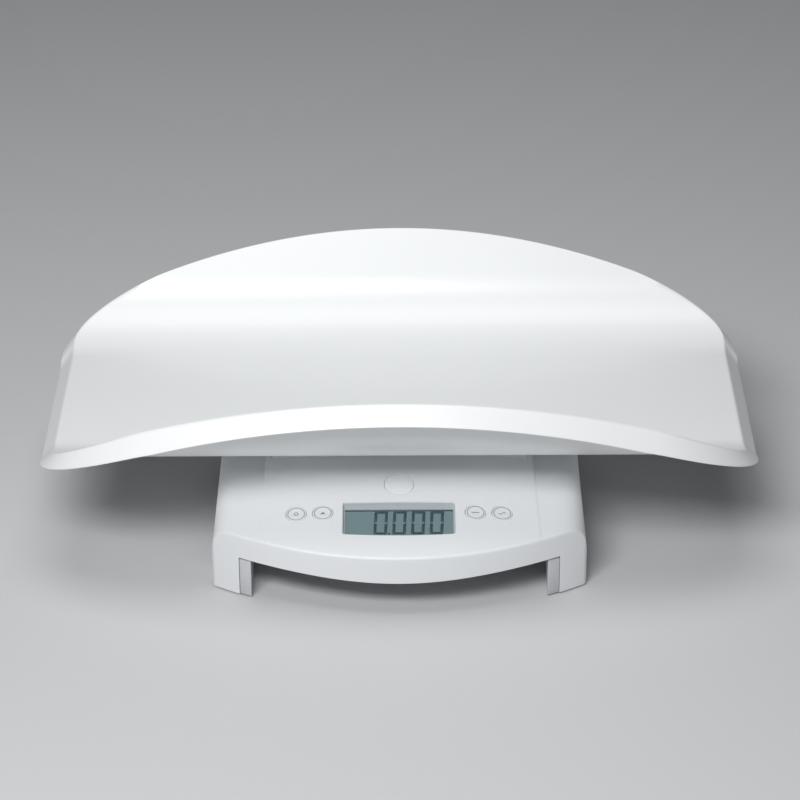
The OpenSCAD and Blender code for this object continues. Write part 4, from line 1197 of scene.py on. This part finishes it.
@dataclass
class Keys:
    """Four round keys with a grey ring and a plain sign, and the larger release button."""

    console: Console
    names: tuple[str, ...] = ("outer_left", "inner_left", "inner_right", "outer_right")
    glyphs: tuple[Glyph, ...] = (Glyph.RING, Glyph.PEAK, Glyph.DASH, Glyph.WAVE)
    radius: float = 7.75
    cap: float = 2.2
    lift: float = 0.1
    edge: float = 0.55
    dish: float = 0.25
    ink: float = 0.05
    release_travel: float = 3.5
    coil_foot: float = 9.2
    coil_length: float = 6.6
    coil_radius: float = 5.75
    coil_wire: float = 0.6
    coil_turns: int = 4

    def cap_profile(self, radius: float, depth: float) -> list[tuple[float, float]]:
        """Cap from the middle of its face: a shallow dish, a rounded edge and a straight side."""
        r = np.linspace(0.0, radius - self.edge, 12)
        face = [(float(a), float(self.lift - self.dish * (1.0 - (a / radius) ** 2))) for a in r]
        side = rounded((radius - self.edge, self.lift - self.edge), self.edge, 90.0)[1:]
        return face[:-1] + [(radius - self.edge, self.lift)] + side + [(radius, -depth), (0.0, -depth)]

    def face_height(self, radius: Array) -> Array:
        """Height of the cap's dished face at a radius."""
        return self.lift - self.dish * (1.0 - (radius / self.radius) ** 2)

    def sign(self, glyph: Glyph) -> list[Array]:
        """Strips (n, 2, 2) that make a sign: each is a band between two lines in the cap's plane."""
        if glyph is Glyph.RING:
            turn = np.linspace(0.0, 2.0 * math.pi, 49)
            line = np.stack([np.cos(turn), np.sin(turn)], axis=-1)
            return [np.stack([line * 1.1, line * 1.9], axis=1)]
        if glyph is Glyph.PEAK:
            x = np.linspace(-2.2, 2.2, 12)
            return [np.stack([np.stack([x, np.full_like(x, -1.3)], -1),
                              np.stack([x, -1.25 + 2.9 * (1.0 - np.abs(x) / 2.2)], -1)], axis=1)]
        x = np.linspace(-2.9, 2.9, 25)
        if glyph is Glyph.DASH:
            return [np.stack([np.stack([x, np.full_like(x, -0.5)], -1), np.stack([x, np.full_like(x, 0.5)], -1)], axis=1)]
        y = 0.9 * np.sin(x * 1.1)
        return [np.stack([np.stack([x, y - 0.45], -1), np.stack([x, y + 0.45], -1)], axis=1)]

    def marks(self, glyph: Glyph) -> Surface:
        """Grey ring near the edge and the sign, as thin closed bands on the dished face."""
        turn = np.linspace(0.0, 2.0 * math.pi, 97)
        line = np.stack([np.cos(turn), np.sin(turn)], axis=-1)
        ring = np.stack([line * (self.radius - 1.7), line * (self.radius - 1.0)], axis=1)
        surface = Surface()
        for band in [ring] + self.sign(glyph):
            z = self.face_height(np.linalg.norm(band, axis=-1))
            low = np.dstack([band, z - self.ink])
            high = np.dstack([band, z + self.ink])
            around = np.stack([low[:, 0], low[:, 1], high[:, 1], high[:, 0]], axis=1)
            surface.grid(around, closed_v=True)
            if not np.allclose(band[0], band[-1]):
                for end in (around[0], around[-1]):
                    surface.fan(end)
        return surface

    def build(self) -> None:
        """Builds and dresses the keys, their signs and the release button."""
        for name, glyph, x in zip(self.names, self.glyphs, self.console.key_x):
            place = self.console.stand(x, self.console.key_s)
            place.translation *= MM
            for kind, surface, finish, replaced in (
                    ("key_cap_", revolve(self.cap_profile(self.radius, self.cap)), Finish.KEY, ("key_" + name,)),
                    ("key_mark_", self.marks(glyph), Finish.MARK, ())):
                data = surface.mesh(kind + name)
                data.transform(place)
                piece = new_object(kind + name, data)
                fix_normals(piece.data)
                shade(piece.data)
                dress(piece, finish, name + "_key", "keys", *replaced)
        dress(softened("release_button", self.edge, "release_cap"), Finish.BUTTON, "release", "button",
              "release_button")
        self.spring()

    def spring(self) -> None:
        """Wound spring under the release button.

        A point of the wire's surface stands at the mean radius plus half the wire times the cosine of one
        angle, turned about the axis by the other, and rises evenly with the turns.
        """
        turn = np.linspace(0.0, 2.0 * math.pi * self.coil_turns, 30 * self.coil_turns + 1)[:, None]
        around = np.linspace(0.0, 2.0 * math.pi, 12, endpoint=False)
        half_wire = self.coil_wire / 2.0
        radius = self.coil_radius + half_wire * np.cos(around)
        rise = half_wire + (self.coil_length - self.coil_wire) * turn / turn[-1] + half_wire * np.sin(around)
        points = np.stack([radius * np.cos(turn), radius * np.sin(turn), rise], axis=-1)
        surface = Surface()
        surface.grid(points, closed_v=True)
        surface.fan(points[0])
        surface.fan(points[-1])
        place = self.console.stand(0.0, self.console.release_s)
        place.translation *= MM
        data = surface.mesh("release_coil")
        data.transform(place @ Matrix.Translation((0.0, 0.0, -self.coil_foot * MM)))
        piece = new_object("release_coil", data)
        fix_normals(piece.data)
        shade(piece.data)
        dress(piece, Finish.STEEL, "base", "steel", "release_spring")
        foot = self.console.point(0.0, self.console.release_s, -self.coil_foot) * MM
        normal = self.console.point(0.0, 0.0, 1.0) - self.console.point(0.0, 0.0, 0.0)
        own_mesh(piece)


def repaint(node: str, finish: Finish) -> None:
    """Gives a CAD node that keeps its shape a better material."""
    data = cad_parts[node].data
    data.materials.clear()
    data.materials.append(finish.material())
    LOG.info("node %s repainted as %s", node, finish.value.name)


@dataclass
class Works:
    """Inner pieces that keep their CAD shape and get their real finish."""

    finishes: dict[str, Finish] = field(default_factory=lambda: {
        "main_board": Finish.BOARD, "board_chips": Finish.CHIP, "board_screws": Finish.STEEL,
        "key_switches": Finish.CHIP, "latch_slide": Finish.INNER,
        "latch_spring": Finish.STEEL, "load_cell_screws": Finish.STEEL, "battery_contacts": Finish.BRASS,
        "battery_springs": Finish.STEEL, "tray_screws": Finish.STEEL, "housing_screws": Finish.STEEL,
    })

    def build(self) -> None:
        """Repaints every inner node."""
        for node, finish in self.finishes.items():
            repaint(node, finish)
        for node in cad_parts:
            if node.startswith("plunger_"):
                repaint(node, Finish.BEZEL)
            elif node.startswith("load_cell_") and node != "load_cell_screws":
                repaint(node, Finish.ALLOY)
            elif node.startswith("battery_") and node[-1].isdigit():
                repaint(node, Finish.SLEEVE)


# ---------------------------------------------------------------------------------------------------
# Studio
# ---------------------------------------------------------------------------------------------------

@dataclass
class Studio:
    """Pale floor, soft lights and the camera at the photograph's viewing angle."""

    elevation: float = 28.03
    azimuth: float = -0.207
    roll: float = -0.3474
    aim: tuple[float, float, float] = (0.78, 0.0, 101.3)
    distance: float = 2465.0
    focal_px: float = 3114.0
    frame_px: float = 800.0
    sensor: float = 36.0

    def camera(self) -> None:
        """Puts the camera at distance from the aim, along the fitted direction."""
        e, a, r = (math.radians(v) for v in (self.elevation, self.azimuth, self.roll))
        forward = Vector((math.sin(a) * math.cos(e), math.cos(a) * math.cos(e), -math.sin(e)))
        right = Vector((math.cos(a), -math.sin(a), 0.0))
        up = right.cross(forward)
        turned_right = right * math.cos(r) + up * math.sin(r)
        turned_up = up * math.cos(r) - right * math.sin(r)
        data = bpy.data.cameras.new("camera")
        data.lens = self.sensor * self.focal_px / self.frame_px
        data.sensor_width = self.sensor
        data.clip_end = 50.0
        camera = bpy.data.objects.new("camera", data)
        bpy.context.scene.collection.objects.link(camera)
        turn = Matrix((turned_right, turned_up, -forward)).transposed().to_4x4()
        camera.matrix_world = Matrix.Translation((Vector(self.aim) - forward * self.distance) * MM) @ turn
        bpy.context.scene.camera = camera

    def floor(self) -> None:
        """Plain pale floor that curves up far behind the object."""
        surface = Surface()
        y = np.concatenate([np.linspace(-4000.0, 2600.0, 12), 2600.0 + 1400.0 * np.sin(np.radians(np.arange(6, 91, 6)))])
        z = np.concatenate([np.zeros(12), 1400.0 * (1.0 - np.cos(np.radians(np.arange(6, 91, 6))))])
        y, z = np.append(y, y[-1]), np.append(z, 5200.0)
        x = np.linspace(-5000.0, 5000.0, 3)
        points = np.stack([np.broadcast_to(x[:, None], (3, len(y))), np.broadcast_to(y, (3, len(y))),
                           np.broadcast_to(z, (3, len(y)))], axis=-1)
        surface.grid(points)
        floor = new_object("floor", surface.mesh("floor"))
        shade(floor.data, 60.0)
        shader = Shader("pale_floor")
        shader.set(Base_Color=linear(206, 207, 208), Roughness=0.9)
        floor.data.materials.append(shader.material)
        floor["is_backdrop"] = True

    def light(self, name: str, place: tuple[float, float, float], size: tuple[float, float], power: float,
              colour: tuple[float, float, float] = (1.0, 1.0, 1.0), target: tuple[float, float, float] = (0, 0, 0.1)) -> None:
        """Soft rectangular light aimed at a point.

        Args:
            name: the light's name.
            place: where it stands, in metres.
            size: its width and height, in metres.
            power: its power in watts.
            colour: its colour.
            target: what it is aimed at, in metres.
        """
        data = bpy.data.lights.new(name, "AREA")
        data.shape = "RECTANGLE"
        data.size, data.size_y = size
        data.energy = power
        data.color = colour
        lamp = bpy.data.objects.new(name, data)
        lamp.location = place
        lamp.rotation_mode = "QUATERNION"
        lamp.rotation_quaternion = (Vector(target) - Vector(place)).to_track_quat("-Z", "Y")
        bpy.context.scene.collection.objects.link(lamp)

    def build(self) -> None:
        """Makes camera, floor, lights and a dim even surround."""
        self.camera()
        self.floor()
        self.light("front_softbox", (-0.46, -1.52, 1.53), (1.1, 0.45), 30.5)
        self.light("top_fill", (-0.1, -0.3, 2.2), (1.4, 1.0), 15.0)
        world = bpy.data.worlds.new("surround")
        world.use_nodes = True
        world.node_tree.nodes["Background"].inputs["Color"].default_value = (0.86, 0.90, 0.94, 1.0)
        world.node_tree.nodes["Background"].inputs["Strength"].default_value = 0.09
        bpy.context.scene.world = world
        bpy.context.scene.view_settings.view_transform = "Standard"


def corners(bounds: Sequence[Vector]) -> list[list[float]]:
    """Bounds as plain lists of numbers."""
    return [[float(v) for v in corner] for corner in bounds]


def main() -> None:
    """Builds the scale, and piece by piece."""
    logging.basicConfig(level=logging.INFO, format="%(name)s: %(message)s")
    cad_box = corners(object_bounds())
    Studio().build()
    console = Console()
    for part in (Tray(), Base(console), Display(console), Keys(console), Works()):
        LOG.info("building %s", type(part).__name__)
        part.build()
    {"cad": cad_box, "visual": corners(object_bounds())}


if __name__ == "__main__":
    main()
